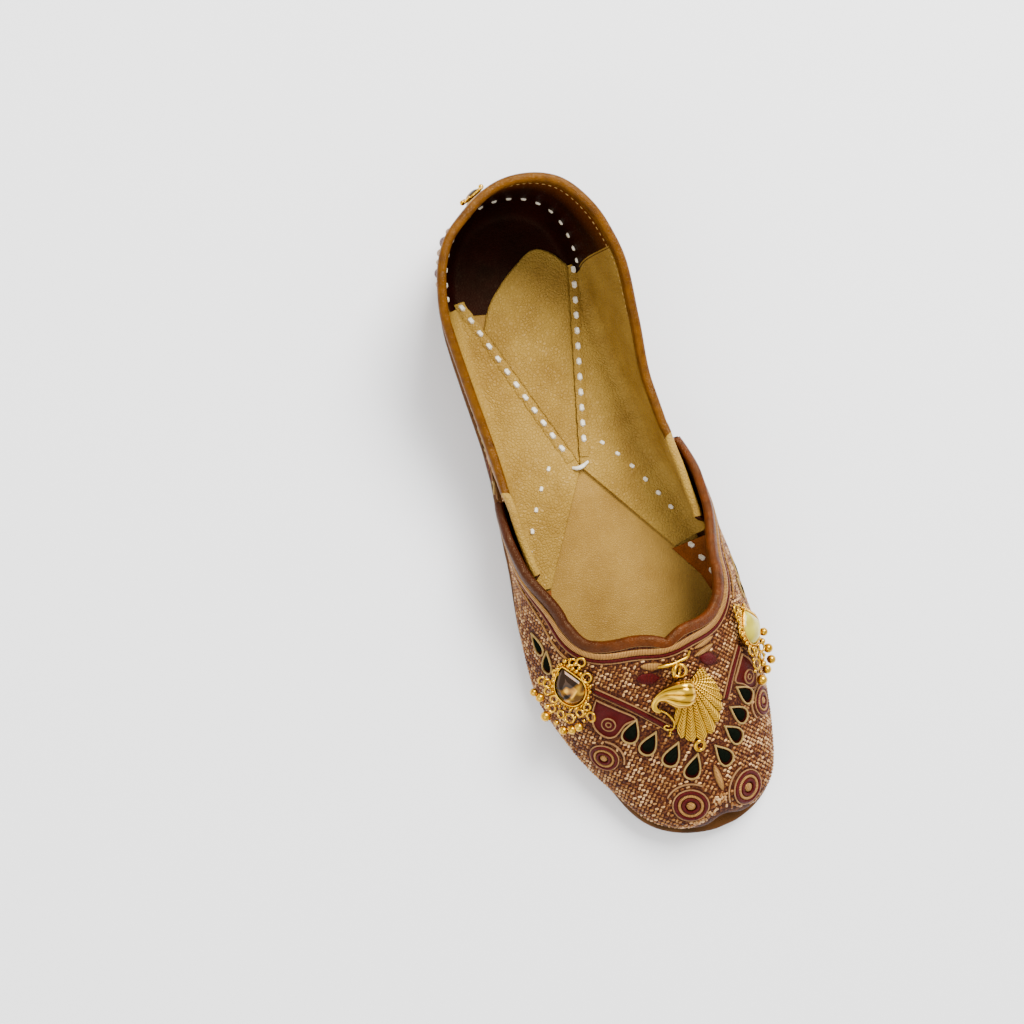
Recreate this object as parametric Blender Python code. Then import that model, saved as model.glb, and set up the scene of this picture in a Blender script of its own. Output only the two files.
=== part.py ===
"""Mojari (jutti): one flat embroidered slip-on shoe, built from its maker's pieces.

The frame has +Z up, the toe toward -Y and the origin at the bottom centre of the
shoe's box. Stations run along the shoe from the heel (0) to the toe (SHOE_LENGTH).
"""
import math

import bmesh
import bpy
from mathutils import Vector

# Driving sizes of the shoe, in metres
SHOE_LENGTH = 0.250
BALL_WIDTH = 0.087
INSTEP_HEIGHT = 0.048
HEEL_HEIGHT = 0.060

SOLE_THICKNESS = 0.0045
SOLE_MARGIN = 0.0014
SOLE_TOE_MARGIN = 0.0036
TOE_SPRING = 0.0035
WAIST_ARCH = 0.0012
TOE_NOTCH_DEPTH = 0.0032
TOE_NOTCH_HALF_WIDTH = 0.0055

INSOLE_THICKNESS = 0.0020
FLAP_THICKNESS = 0.0012
VAMP_WALL = 0.0020
QUARTER_WALL = 0.0018
GAP = 0.0003
EAR_GAP = 0.0025
LINING_EASE = 0.0007
TOE_LINING_EASE = 0.0018

BINDING_THICKNESS = 0.0006
BINDING_REACH = 0.0026
BINDING_EASE = 0.00015

PEACOCK_TAIL_LENGTH = 0.0275
PEACOCK_TAIL_WIDTH = 0.0195
PEACOCK_BODY_LENGTH = 0.0150
PEACOCK_BODY_WIDTH = 0.0070
PEACOCK_NECK_WIDTH = 0.0022
CHARM_THICKNESS = 0.0009
CHARM_CLEARANCE = 0.0004
SIDE_CHARM_LENGTH = 0.023
SIDE_CHARM_WIDTH = 0.0140
STONE_HEIGHT = 0.0028
HEEL_CHARM_LENGTH = 0.013
HEEL_CHARM_WIDTH = 0.016

# Facets of the walls
QUARTER_COLUMNS = 60

# Stations as shares of the shoe's length
ARCH_START, ARCH_END = 0.33, 0.57
SPRING_START = 0.80
VAMP_REAR_TOP, VAMP_REAR_BOTTOM = 0.432, 0.437
QUARTER_FRONT_TOP, QUARTER_FRONT_BOTTOM = 0.560, 0.575
EAR_STEP_START, EAR_STEP_END = 0.375, 0.430
EAR_OPEN_START, EAR_OPEN_END = 0.400, 0.452
EAR_RISE_END = 0.500
COLLAR_SINK_START = 0.41
THROAT_CORNER = 0.632
OUTSOLE_TURNS = (0.012, 0.988)
INSOLE_TURNS = (0.03, 0.97)
INSOLE_WIDENS_OVER = 0.06

# Levels by which the ears' rear ends and the quarters' front ends lie below the edge line
EAR_DIP = 0.32
COLLAR_SINK = 0.12

# Each line of the last runs round the shoe between these stations (shares of length)
LINE_ENDS = {
    "sole": (0.011, 0.985),
    "belly": (0.002, 0.994),
    "edge": (0.0196, 0.985),
    "crown": (0.0, 0.958),
}
NOTCH_SHARE = {"sole": 1.0, "belly": 1.0, "edge": 0.55, "crown": 0.0}

# Sections of the last. Sides are shares of the ball width from the centre plane
# (left is -X), the belly's height is a share of the instep height, and the edge's
# and crown's heights are shares of the height that rules there (heel to instep).
SECTION_COLUMNS = (
    "station", "sole_left", "sole_right", "belly_left", "belly_right", "belly_height",
    "edge_left", "edge_right", "edge_height", "crown_side", "crown_height",
)
SECTIONS = (
    (0.000, 0.023, 0.023, 0.023, 0.023, 0.42, 0.030, 0.030, 0.960, 0.00, 1.50),
    (0.024, -0.160, 0.205, -0.170, 0.218, 0.42, -0.172, 0.230, 0.960, 0.00, 1.50),
    (0.056, -0.240, 0.268, -0.255, 0.284, 0.42, -0.294, 0.299, 0.950, 0.00, 1.50),
    (0.104, -0.297, 0.302, -0.315, 0.320, 0.42, -0.368, 0.356, 0.905, 0.00, 1.50),
    (0.168, -0.333, 0.325, -0.355, 0.345, 0.42, -0.405, 0.384, 0.835, 0.00, 1.45),
    (0.248, -0.343, 0.328, -0.365, 0.350, 0.41, -0.400, 0.370, 0.720, 0.00, 1.35),
    (0.344, -0.350, 0.330, -0.372, 0.352, 0.38, -0.392, 0.346, 0.620, 0.00, 1.25),
    (0.375, -0.358, 0.340, -0.382, 0.363, 0.37, -0.393, 0.346, 0.620, 0.00, 1.22),
    (0.400, -0.365, 0.348, -0.390, 0.371, 0.36, -0.406, 0.3575, 0.622, 0.00, 1.20),
    (0.425, -0.378, 0.362, -0.403, 0.386, 0.347, -0.434, 0.386, 0.646, 0.00, 1.17),
    (0.452, -0.390, 0.378, -0.415, 0.402, 0.336, -0.452, 0.403, 0.680, 0.00, 1.145),
    (0.485, -0.405, 0.400, -0.428, 0.423, 0.325, -0.456, 0.406, 0.720, 0.00, 1.13),
    (0.536, -0.425, 0.430, -0.447, 0.453, 0.31, -0.441, 0.399, 0.755, 0.00, 1.12),
    (0.632, -0.475, 0.455, -0.495, 0.473, 0.29, -0.354, 0.329, 0.800, 0.000, 1.07),
    (0.720, -0.497, 0.452, -0.520, 0.470, 0.27, -0.370, 0.335, 0.680, 0.000, 1.00),
    (0.816, -0.440, 0.412, -0.463, 0.432, 0.25, -0.335, 0.315, 0.550, 0.008, 0.82),
    (0.904, -0.332, 0.356, -0.352, 0.374, 0.23, -0.245, 0.275, 0.430, 0.022, 0.65),
    (0.960, -0.238, 0.288, -0.253, 0.306, 0.22, -0.165, 0.215, 0.365, 0.035, 0.53),
    (1.000, 0.040, 0.040, 0.040, 0.040, 0.20, 0.040, 0.040, 0.330, 0.040, 0.44),
)

# The throat's front edge in plan: station (share of length), side (share of width).
# Two lobes meet in a small notch on the centre line.
THROAT_LEFT_LOBE = (
    (0.6625, -0.315),
    (0.6755, -0.262),
    (0.6815, -0.190),
    (0.6840, -0.130),
    (0.6910, -0.066),
)
THROAT_NOTCH = (0.7035, 0.0)
THROAT_RIGHT_LOBE = (
    (0.6945, 0.068),
    (0.6930, 0.120),
    (0.6930, 0.170),
    (0.6890, 0.222),
    (0.6770, 0.268),
    (0.6600, 0.302),
)

# The turned-in lining flaps on the insole: station and side of each corner
FLAP_BACK = {"left": (0.134, -0.225), "right": (0.134, 0.265)}
FLAP_TIE = (0.424, 0.002)
FLAP_FRONT = {"left": (0.580, -0.302), "right": (0.585, 0.274)}

# Places of the charms: station and side on the vamp, or station and level on a flank
PEACOCK_TAIL_PLACE = (0.811, 0.072)
PEACOCK_BODY_PLACE = (0.772, -0.012)
SIDE_CHARM_PLACES = {"left": (0.728, 1.72), "right": (0.738, 1.66)}
HEEL_CHARM_PLACE = (0.0085, 1.66)

COLOURS = {
    "sole leather": (0.24, 0.10, 0.035),
    "insole leather": (0.42, 0.26, 0.11),
    "lining leather": (0.40, 0.26, 0.11),
    "embroidered vamp": (0.42, 0.22, 0.11),
    "embroidered quarters": (0.40, 0.21, 0.11),
    "binding leather": (0.30, 0.11, 0.03),
    "gilt metal": (0.80, 0.58, 0.12),
}


def smooth_step(start, end, value):
    """Rises softly from 0 at start to 1 at end."""
    share = min(1.0, max(0.0, (value - start) / (end - start)))
    return share * share * (3.0 - 2.0 * share)


def turn_of(station):
    """The turn (0 at the heel, 1 at the toe) whose section has this station share."""
    return math.acos(1.0 - 2.0 * station) / math.pi


class SmoothLoop:
    """A closed curve of one value round the shoe, through its knots without overshoot."""

    def __init__(self, knots, period=2.0):
        self.turns = [turn for turn, _ in knots]
        self.values = [value for _, value in knots]
        self.period = period
        count = len(knots)
        steps = []
        slopes = []
        for index in range(count):
            following = (index + 1) % count
            step = self.turns[following] - self.turns[index]
            if following == 0:
                step += period
            steps.append(step)
            slopes.append((self.values[following] - self.values[index]) / step)
        self.steps = steps
        self.tangents = []
        for index in range(count):
            before, after = slopes[index - 1], slopes[index]
            if before * after <= 0.0:
                self.tangents.append(0.0)
                continue
            near = 2.0 * steps[index] + steps[index - 1]
            far = steps[index] + 2.0 * steps[index - 1]
            self.tangents.append((near + far) / (near / before + far / after))

    def __call__(self, turn):
        turn %= self.period
        index = max(i for i, start in enumerate(self.turns) if start <= turn + 1e-12)
        following = (index + 1) % len(self.turns)
        step = self.steps[index]
        share = (turn - self.turns[index]) / step
        back = 1.0 - share
        return (
            self.values[index] * (1.0 + 2.0 * share) * back * back
            + self.tangents[index] * step * share * back * back
            + self.values[following] * share * share * (3.0 - 2.0 * share)
            - self.tangents[following] * step * share * share * back
        )


def section_loop(left, right=None):
    """One column of the sections, led round the shoe: left side out, right side back."""
    first = SECTION_COLUMNS.index(left)
    second = SECTION_COLUMNS.index(right or left)
    knots = [(turn_of(row[0]), row[first]) for row in SECTIONS]
    knots += [(2.0 - turn_of(row[0]), row[second]) for row in reversed(SECTIONS[1:-1])]
    return SmoothLoop(knots)


SIDES = {
    "sole": section_loop("sole_left", "sole_right"),
    "belly": section_loop("belly_left", "belly_right"),
    "edge": section_loop("edge_left", "edge_right"),
    "crown": section_loop("crown_side"),
}
HEIGHTS = {
    "belly": section_loop("belly_height"),
    "edge": section_loop("edge_height"),
    "crown": section_loop("crown_height"),
}


def sole_rise(station):
    """Height of the sole's underside: flat heel and forefoot, low arch, toe spring."""
    if ARCH_START < station < ARCH_END:
        turn = math.pi * (station - ARCH_START) / (ARCH_END - ARCH_START)
        return WAIST_ARCH * math.sin(turn) ** 2
    if station > SPRING_START:
        return TOE_SPRING * ((station - SPRING_START) / (1.0 - SPRING_START)) ** 2
    return 0.0


def seat_height(station):
    """Height on which the upper stands: the sole's top and a clearance."""
    return sole_rise(station) + SOLE_THICKNESS + GAP


def ruling_height(station):
    """The named height that the sections' shares follow: heel, then instep."""
    return HEEL_HEIGHT + (INSTEP_HEIGHT - HEEL_HEIGHT) * smooth_step(0.30, 0.55, station)


def notched(station, side, line):
    """Station moved back where the toe's front edge dips between its two lobes."""
    centre = SIDES["sole"](1.0)
    across = (side - centre) * BALL_WIDTH / TOE_NOTCH_HALF_WIDTH
    depth = TOE_NOTCH_DEPTH / SHOE_LENGTH * NOTCH_SHARE[line]
    return station - depth * math.exp(-across * across) * smooth_step(0.90, 0.985, station)


def plan_point(station, side, height):
    """A point of the shoe from its station and side shares and its height."""
    return Vector((side * BALL_WIDTH, (0.5 - station) * SHOE_LENGTH, height))


def line_point(line, turn, dips=True):
    """A point of one of the last's four lines at this turn round the shoe."""
    back, front = LINE_ENDS[line]
    share = (1.0 - math.cos(math.pi * turn)) / 2.0
    side = SIDES[line](turn)
    station = back + (front - back) * share
    if dips:
        station = notched(station, side, line)
    if line == "sole":
        return plan_point(station, side, seat_height(station))
    rule = INSTEP_HEIGHT if line == "belly" else ruling_height(share)
    return plan_point(station, side, sole_rise(station) + HEIGHTS[line](turn) * rule)


def hermite(start, end, leave, arrive, share):
    """Cubic between two points with the given tangents."""
    back = 1.0 - share
    return (
        start * ((1.0 + 2.0 * share) * back * back)
        + leave * (share * back * back)
        + end * (share * share * (3.0 - 2.0 * share))
        - arrive * (share * share * back)
    )


def last_point(turn, level):
    """The upper's outer face: level 0 sole line, 1 belly, 2 edge, 3 crown.

    Past the crown it goes down the other side.
    """
    if level > 3.0:
        turn, level = 2.0 - turn, 6.0 - level
    sole = line_point("sole", turn)
    belly = line_point("belly", turn)
    edge = line_point("edge", turn)
    crown = line_point("crown", turn)
    station = (1.0 - math.cos(math.pi * turn)) / 2.0
    domed = smooth_step(0.47, 0.66, station)
    leave_sole = Vector((0.0, 0.0, (belly - sole).z)) + 0.4 * (belly - sole)
    at_belly = 0.5 * (edge - sole)
    at_edge = (edge - belly).lerp(0.5 * (crown - belly), domed)
    at_crown = Vector((1.2 * (crown.x - edge.x), 0.0, 0.0))
    if level <= 1.0:
        return hermite(sole, belly, leave_sole, at_belly, max(level, 0.0))
    if level <= 2.0:
        return hermite(belly, edge, at_belly, at_edge, level - 1.0)
    return hermite(edge, crown, at_edge, at_crown, min(level, 3.0) - 2.0)


def last_normal(turn, level):
    """Outward direction of the upper's outer face."""
    if level > 3.0:
        turn, level = 2.0 - turn, 6.0 - level
    step = 0.002
    low, high = max(0.0, level - step), min(3.0, level + step)
    along = last_point(turn + step, level) - last_point(turn - step, level)
    upward = last_point(turn, high) - last_point(turn, low)
    if level > 2.99:
        upward = Vector((1.0 if turn % 2.0 < 1.0 else -1.0, 0.0, 0.0))
        along = line_point("crown", turn + step) - line_point("crown", turn - step)
        if along.length < 1e-9 or abs(turn % 2.0 - 1.0) < 2.0 * step:
            along = line_point("crown", 0.99) - line_point("crown", 0.97)
            along *= 1.0 if turn % 2.0 <= 1.0 else -1.0
            upward = Vector((1.0 if turn % 2.0 <= 1.0 else -1.0, 0.0, 0.0))
    return along.cross(upward).normalized()


def ear_inset(turn, level):
    """How far the quarters lie inside the last where the vamp's ears cover them."""
    station = (1.0 - math.cos(math.pi * turn)) / 2.0
    covered = smooth_step(EAR_STEP_START, EAR_STEP_END, station)
    opened = smooth_step(EAR_OPEN_START, EAR_OPEN_END, station) * smooth_step(1.05, 1.65, level)
    return covered * (VAMP_WALL + GAP) + opened * EAR_GAP


def solve_turn_level(station, side):
    """Turn and level at which the last's dome has this station and side in plan."""
    target = plan_point(station, side, 0.0)
    left = side < SIDES["crown"](turn_of(station))
    turn = turn_of(station) if left else 2.0 - turn_of(station)
    level = 2.5
    step = 0.001
    for _ in range(30):
        here = last_point(turn, level)
        miss = Vector((target.x - here.x, target.y - here.y))
        if miss.length < 1e-7:
            break
        ahead = (last_point(turn + step, level) - here) / step
        above = (last_point(turn, level + step) - here) / step
        area = ahead.x * above.y - ahead.y * above.x
        turn += 0.8 * (miss.x * above.y - miss.y * above.x) / area
        level += 0.8 * (ahead.x * miss.y - ahead.y * miss.x) / area
        level = min(2.995, max(1.2, level))
    return turn, level


def smooth_through(points, count):
    """Evenly spaced points on a smooth plan curve through the given points."""
    dense = []
    for index in range(len(points) - 1):
        before = points[max(index - 1, 0)]
        start, end = points[index], points[index + 1]
        after = points[min(index + 2, len(points) - 1)]
        for part in range(24):
            share = part / 24.0
            dense.append(hermite(start, end, 0.5 * (end - before), 0.5 * (after - start), share))
    dense.append(points[-1].copy())
    lengths = [0.0]
    for first, second in zip(dense, dense[1:]):
        lengths.append(lengths[-1] + (second - first).length)
    placed = []
    for index in range(count + 1):
        wanted = lengths[-1] * index / count
        spot = max(i for i, length in enumerate(lengths) if length <= wanted + 1e-12)
        spot = min(spot, len(dense) - 2)
        piece = lengths[spot + 1] - lengths[spot]
        placed.append(dense[spot].lerp(dense[spot + 1], (wanted - lengths[spot]) / piece))
    return placed


def throat_lobe(side, count):
    """Turns and levels along the throat's front, from its corner to the notch."""
    corner_turn = turn_of(THROAT_CORNER)
    corner_turn = corner_turn if side == "left" else 2.0 - corner_turn
    corner = line_point("edge", corner_turn)
    rows = THROAT_LEFT_LOBE if side == "left" else tuple(reversed(THROAT_RIGHT_LOBE))
    points = [corner] + [plan_point(*row, 0.0) for row in rows] + [plan_point(*THROAT_NOTCH, 0.0)]
    for point in points:
        point.z = 0.0
    spots = [(corner_turn, 2.0)]
    for point in smooth_through(points, count)[1:-1]:
        station = 0.5 - point.y / SHOE_LENGTH
        spots.append(solve_turn_level(station, point.x / BALL_WIDTH))
    spots.append((notch_turn(side), 3.0))
    return spots


def notch_turn(side):
    """Turn of the throat's notch, where it meets the crown line."""
    back, front = LINE_ENDS["crown"]
    turn = turn_of((THROAT_NOTCH[0] - back) / (front - back))
    return turn if side == "left" else 2.0 - turn


def mesh_object(name, build, colour, smooth_angle=40.0):
    """A named object from a function that fills a bmesh, with its own material."""
    shape = bmesh.new()
    build(shape)
    bmesh.ops.remove_doubles(shape, verts=shape.verts, dist=0.00002)
    bmesh.ops.triangulate(shape, faces=shape.faces)
    bmesh.ops.recalc_face_normals(shape, faces=shape.faces)
    mesh = bpy.data.meshes.new(name)
    shape.to_mesh(mesh)
    shape.free()
    mesh.shade_smooth()
    mesh.set_sharp_from_angle(angle=math.radians(smooth_angle))
    item = bpy.data.objects.new(name, mesh)
    bpy.context.scene.collection.objects.link(item)
    material = bpy.data.materials.new(name)
    material.use_nodes = True
    surface = material.node_tree.nodes["Principled BSDF"]
    surface.inputs["Base Color"].default_value = (*COLOURS[colour], 1.0)
    surface.inputs["Roughness"].default_value = 0.3 if colour == "gilt metal" else 0.65
    surface.inputs["Metallic"].default_value = 1.0 if colour == "gilt metal" else 0.0
    mesh.materials.append(material)
    return item


def add_shell(shape, outer, inner):
    """Adds a walled sheet: two matching grids of points, joined round their rims."""
    grids = []
    for rows in (outer, inner):
        grids.append([[shape.verts.new(point) for point in row] for row in rows])
    for grid, flip in zip(grids, (False, True)):
        for row, following in zip(grid, grid[1:]):
            for index in range(len(row) - 1):
                corners = [row[index], row[index + 1], following[index + 1], following[index]]
                shape.faces.new(reversed(corners) if flip else corners)
    return grids


def join_rims(shape, outer_rim, inner_rim):
    """Closes the strip between two matching rims."""
    for index in range(len(outer_rim) - 1):
        corners = (outer_rim[index], outer_rim[index + 1], inner_rim[index + 1], inner_rim[index])
        shape.faces.new(corners)


def ear_top(turn):
    """Level of an ear's top edge: it rises from its low rear end to the edge line."""
    station = (1.0 - math.cos(math.pi * turn)) / 2.0
    return 2.0 - EAR_DIP * (1.0 - smooth_step(VAMP_REAR_TOP, EAR_RISE_END, station))


def vamp_tops(side, ear_count, lobe_count, crown_count):
    """Turn and level along the vamp's top: ear, throat lobe, then the crown line."""
    sign = 1.0 if side == "left" else -1.0
    rear = turn_of(VAMP_REAR_TOP)
    corner = turn_of(THROAT_CORNER)
    tops = []
    for index in range(ear_count):
        turn = rear + (corner - rear) * index / ear_count
        tops.append((turn if sign > 0 else 2.0 - turn, ear_top(turn)))
    tops += throat_lobe(side, lobe_count)
    notch = notch_turn(side)
    for index in range(1, crown_count + 1):
        tops.append((notch + (1.0 - notch) * index / crown_count, 3.0))
    return tops


def vamp_bottoms(side, tops):
    """Turns along the vamp's sole line, spread under its top by the same shares."""
    rear = turn_of(VAMP_REAR_BOTTOM)
    rear = rear if side == "left" else 2.0 - rear
    points = [last_point(*top) for top in tops]
    lengths = [0.0]
    for first, second in zip(points, points[1:]):
        lengths.append(lengths[-1] + (second - first).length)
    turns = []
    for (turn, _), length in zip(tops, lengths):
        even = length / lengths[-1]
        straight = (turn - tops[0][0]) / (1.0 - tops[0][0])
        turns.append(rear + (1.0 - rear) * (0.45 * even + 0.55 * straight))
    return turns


def vamp_grid(side, rows, ear_count, lobe_count, crown_count):
    """Outer and inner points of one half of the vamp, sole line to top."""
    tops = vamp_tops(side, ear_count, lobe_count, crown_count)
    bottoms = vamp_bottoms(side, tops)
    outer, inner = [], []
    for (top_turn, top_level), bottom_turn in zip(tops, bottoms):
        outer_column, inner_column = [], []
        for index in range(rows + 1):
            share = index / rows
            turn = bottom_turn + (top_turn - bottom_turn) * share
            level = top_level * share
            point = last_point(turn, level)
            inward = point - last_normal(turn, level) * VAMP_WALL
            if index == 0:
                inward.z = point.z
            outer_column.append(point)
            inner_column.append(inward)
        outer.append(outer_column)
        inner.append(inner_column)
    return outer, inner


def build_vamp(shape):
    """The vamp: toe box, throat and both ears, open underneath and at the throat."""
    lobe_start, lobe_count = 12, 12
    for side in ("left", "right"):
        outer, inner = vamp_grid(side, 10, lobe_start, lobe_count, 14)
        outer_grid, inner_grid = add_shell(shape, outer, inner)
        join_rims(shape, [c[0] for c in outer_grid], [c[0] for c in inner_grid])
        join_rims(shape, outer_grid[0], inner_grid[0])
        open_edge = lobe_start + lobe_count + 1
        join_rims(
            shape,
            [c[-1] for c in outer_grid[:open_edge]],
            [c[-1] for c in inner_grid[:open_edge]],
        )


def quarter_point(turn, level):
    """The quarters' outer face: the last, set in where the vamp's ears cover it."""
    return last_point(turn, level) - last_normal(turn, level) * ear_inset(turn, level)


def quarter_top(turn):
    """Level of the quarters' top edge: the collar, sinking under the ears in front."""
    station = (1.0 - math.cos(math.pi * turn)) / 2.0
    return 2.0 - COLLAR_SINK * smooth_step(COLLAR_SINK_START, QUARTER_FRONT_TOP, station)


def quarter_columns(count):
    """Top and bottom turns of the quarters' columns, left front round to right front."""
    top, bottom = turn_of(QUARTER_FRONT_TOP), turn_of(QUARTER_FRONT_BOTTOM)
    columns = []
    for index in range(count + 1):
        share = 1.0 - 2.0 * index / count
        columns.append((top * share, bottom * share))
    return columns


def build_quarters(shape):
    """The quarters: one U-shaped wall from ear to ear round the heel."""
    rows = 8
    outer, inner = [], []
    for top_turn, bottom_turn in quarter_columns(QUARTER_COLUMNS):
        outer_column, inner_column = [], []
        for index in range(rows + 1):
            share = index / rows
            turn = bottom_turn + (top_turn - bottom_turn) * share
            level = quarter_top(top_turn) * share
            point = quarter_point(turn, level)
            inward = point - last_normal(turn, level) * QUARTER_WALL
            if index == 0:
                point.z = last_point(turn, 0.0).z
                inward.z = point.z
            outer_column.append(point)
            inner_column.append(inward)
        outer.append(outer_column)
        inner.append(inner_column)
    outer_grid, inner_grid = add_shell(shape, outer, inner)
    join_rims(shape, [c[0] for c in outer_grid], [c[0] for c in inner_grid])
    join_rims(shape, [c[-1] for c in outer_grid], [c[-1] for c in inner_grid])
    join_rims(shape, outer_grid[0], inner_grid[0])
    join_rims(shape, outer_grid[-1], inner_grid[-1])


def binding_profile(wall):
    """Section of a folded binding: pairs of outward and upward distances."""
    slot = wall / 2.0 + GAP + BINDING_EASE
    side = slot + BINDING_THICKNESS
    top = GAP + BINDING_THICKNESS
    return (
        (slot, -BINDING_REACH),
        (side, -BINDING_REACH),
        (side, top * 0.4),
        (side * 0.55, top),
        (-side * 0.55, top),
        (-side, top * 0.4),
        (-side, -BINDING_REACH),
        (-slot, -BINDING_REACH),
        (-slot, GAP),
        (slot, GAP),
    )


def add_binding(shape, frames, wall):
    """Adds a binding along edge frames: middle of the wall, outward, upward."""
    profile = binding_profile(wall)
    rings = []
    for middle, outward, upward in frames:
        rings.append([shape.verts.new(middle + outward * a + upward * b) for a, b in profile])
    count = len(profile)
    for ring, following in zip(rings, rings[1:]):
        for index in range(count):
            after = (index + 1) % count
            shape.faces.new((ring[index], ring[after], following[after], following[index]))
    shape.faces.new(rings[0])
    shape.faces.new(reversed(rings[-1]))


def edge_frame(surface, turn, level, wall):
    """Middle of the wall at an edge, with its outward and upward directions."""
    step = 0.02
    point = surface(turn, level)
    outward = last_normal(turn, level - step)
    upward = (point - surface(turn, level - 4.0 * step)).normalized()
    upward = (upward - outward * upward.dot(outward)).normalized()
    return point - outward * wall / 2.0, outward, upward


def build_quarter_binding(shape):
    """The collar's binding, from one front end of the quarters to the other."""
    frames = []
    for top_turn, _ in quarter_columns(QUARTER_COLUMNS)[1:-1]:
        frames.append(edge_frame(quarter_point, top_turn, quarter_top(top_turn), QUARTER_WALL))
    add_binding(shape, frames, QUARTER_WALL)


def evened(directions):
    """The directions, each averaged with its neighbours."""
    for _ in range(2):
        ahead = directions[1:] + directions[-1:]
        behind = directions[:1] + directions[:-1]
        directions = [
            (a + 2.0 * b + c).normalized() for a, b, c in zip(behind, directions, ahead)
        ]
    return directions


def throat_frames(ear_count, lobe_count):
    """Frames along the throat from the left ear over the notch to the right ear."""
    frames = []
    for side in ("left", "right"):
        tops = vamp_tops(side, ear_count, lobe_count, 1)[1:-1]
        points = [last_point(*top) for top in tops]
        normals = evened([last_normal(*top) for top in tops])
        part = []
        for index, (point, outward) in enumerate(zip(points, normals)):
            before = points[max(index - 1, 0)]
            after = points[min(index + 1, len(points) - 1)]
            along = (after - before).normalized()
            if index == len(points) - 1:
                along = Vector((1.0 if side == "left" else -1.0, 0.0, 0.0))
            upward = along.cross(outward) if side == "right" else outward.cross(along)
            part.append((point - outward * VAMP_WALL / 2.0, outward, upward.normalized()))
        frames += part if side == "left" else list(reversed(part[:-1]))
    return frames


def build_throat_binding(shape):
    """The vamp's binding, from ear to ear round the throat."""
    add_binding(shape, throat_frames(14, 14), VAMP_WALL)


def outline_at(turn, grow, dips=True):
    """A point of the upper's sole line moved out by a distance in plan."""
    step = 0.004
    here = line_point("sole", turn, dips)
    along = line_point("sole", turn + step, dips) - line_point("sole", turn - step, dips)
    outward = Vector((along.y, -along.x, 0.0)).normalized()
    return here + outward * grow


def plate_rows(ends, count, grow, across, dips=True):
    """Rows of plan points across the foot, bounded by the grown sole line."""
    rows = []
    for step in range(count + 1):
        turn = ends[0] + (ends[1] - ends[0]) * step / count
        left = outline_at(turn, grow(turn), dips)
        right = outline_at(2.0 - turn, grow(turn), dips)
        rows.append([left.lerp(right, index / across) for index in range(across + 1)])
    return rows


def add_plate(shape, rows, bottom, top):
    """Adds a plate whose faces follow two height rules of the station."""
    layers = []
    for height in (top, bottom):
        layer = []
        for row in rows:
            verts = []
            for point in row:
                station = 0.5 - point.y / SHOE_LENGTH
                verts.append(shape.verts.new((point.x, point.y, height(station))))
            layer.append(verts)
        layers.append(layer)
    for layer, flip in zip(layers, (False, True)):
        for row, following in zip(layer, layer[1:]):
            for index in range(len(row) - 1):
                corners = [row[index], row[index + 1], following[index + 1], following[index]]
                shape.faces.new(reversed(corners) if flip else corners)
    upper, lower = layers
    rim_upper = [row[0] for row in upper] + upper[-1][1:] + [row[-1] for row in reversed(upper[:-1])]
    rim_lower = [row[0] for row in lower] + lower[-1][1:] + [row[-1] for row in reversed(lower[:-1])]
    rim_upper += list(reversed(upper[0]))[1:]
    rim_lower += list(reversed(lower[0]))[1:]
    join_rims(shape, rim_upper, rim_lower)


def build_outsole(shape):
    """The flat leather outsole with its arch and toe spring."""

    def grow(turn):
        station = (1.0 - math.cos(math.pi * turn)) / 2.0
        return SOLE_MARGIN + SOLE_TOE_MARGIN * smooth_step(0.85, 1.0, station)

    rows = plate_rows(OUTSOLE_TURNS, 44, grow, 6, dips=False)
    add_plate(shape, rows, sole_rise, lambda station: sole_rise(station) + SOLE_THICKNESS)


def insole_inset(turn):
    """Distance from the last's sole line to the insole's edge."""
    station = (1.0 - math.cos(math.pi * turn)) / 2.0
    covered = smooth_step(EAR_STEP_START, EAR_STEP_END, station)
    widened = QUARTER_FRONT_BOTTOM + INSOLE_WIDENS_OVER
    covered *= 1.0 - smooth_step(QUARTER_FRONT_BOTTOM, widened, station)
    toe_ease = TOE_LINING_EASE * smooth_step(0.88, 0.97, station)
    return -(VAMP_WALL + GAP + LINING_EASE + toe_ease + covered * (VAMP_WALL + GAP))


def build_insole(shape):
    """The insole, lying on the outsole inside the walls."""
    rows = plate_rows(INSOLE_TURNS, 36, insole_inset, 4)
    add_plate(
        shape,
        rows,
        lambda station: seat_height(station),
        lambda station: seat_height(station) + INSOLE_THICKNESS,
    )


def flap_edge_side(side, station):
    """Side of a flap's inner edge at a station: back edge, then front edge."""
    back_station, back_side = FLAP_BACK[side]
    tie_station, tie_side = FLAP_TIE
    front_station, front_side = FLAP_FRONT[side]
    away = 0.5 * GAP / BALL_WIDTH * (-1.0 if side == "left" else 1.0)
    if station <= tie_station:
        share = (station - back_station) / (tie_station - back_station)
        return back_side + (tie_side + away - back_side) * share
    share = (station - tie_station) / (front_station - tie_station)
    return tie_side + away + (front_side - tie_side - away) * share


def build_flap(side):
    """The builder of one lining flap, turned in from the wall on to the insole."""

    def build(shape):
        start, end = FLAP_BACK[side][0], FLAP_FRONT[side][0]
        rows = []
        for index in range(21):
            station = start + (end - start) * index / 20
            turn = turn_of(station)
            turn = turn if side == "left" else 2.0 - turn
            wall = outline_at(turn, insole_inset(turn) - 0.5 * LINING_EASE)
            inner = plan_point(station, flap_edge_side(side, station), 0.0)
            wall.z = 0.0
            pair = [wall, inner] if side == "left" else [inner, wall]
            rows.append([pair[0].lerp(pair[1], part / 4) for part in range(5)])
        floor = INSOLE_THICKNESS + GAP
        add_plate(
            shape,
            rows,
            lambda station: seat_height(station) + floor,
            lambda station: seat_height(station) + floor + FLAP_THICKNESS,
        )

    return build


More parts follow.
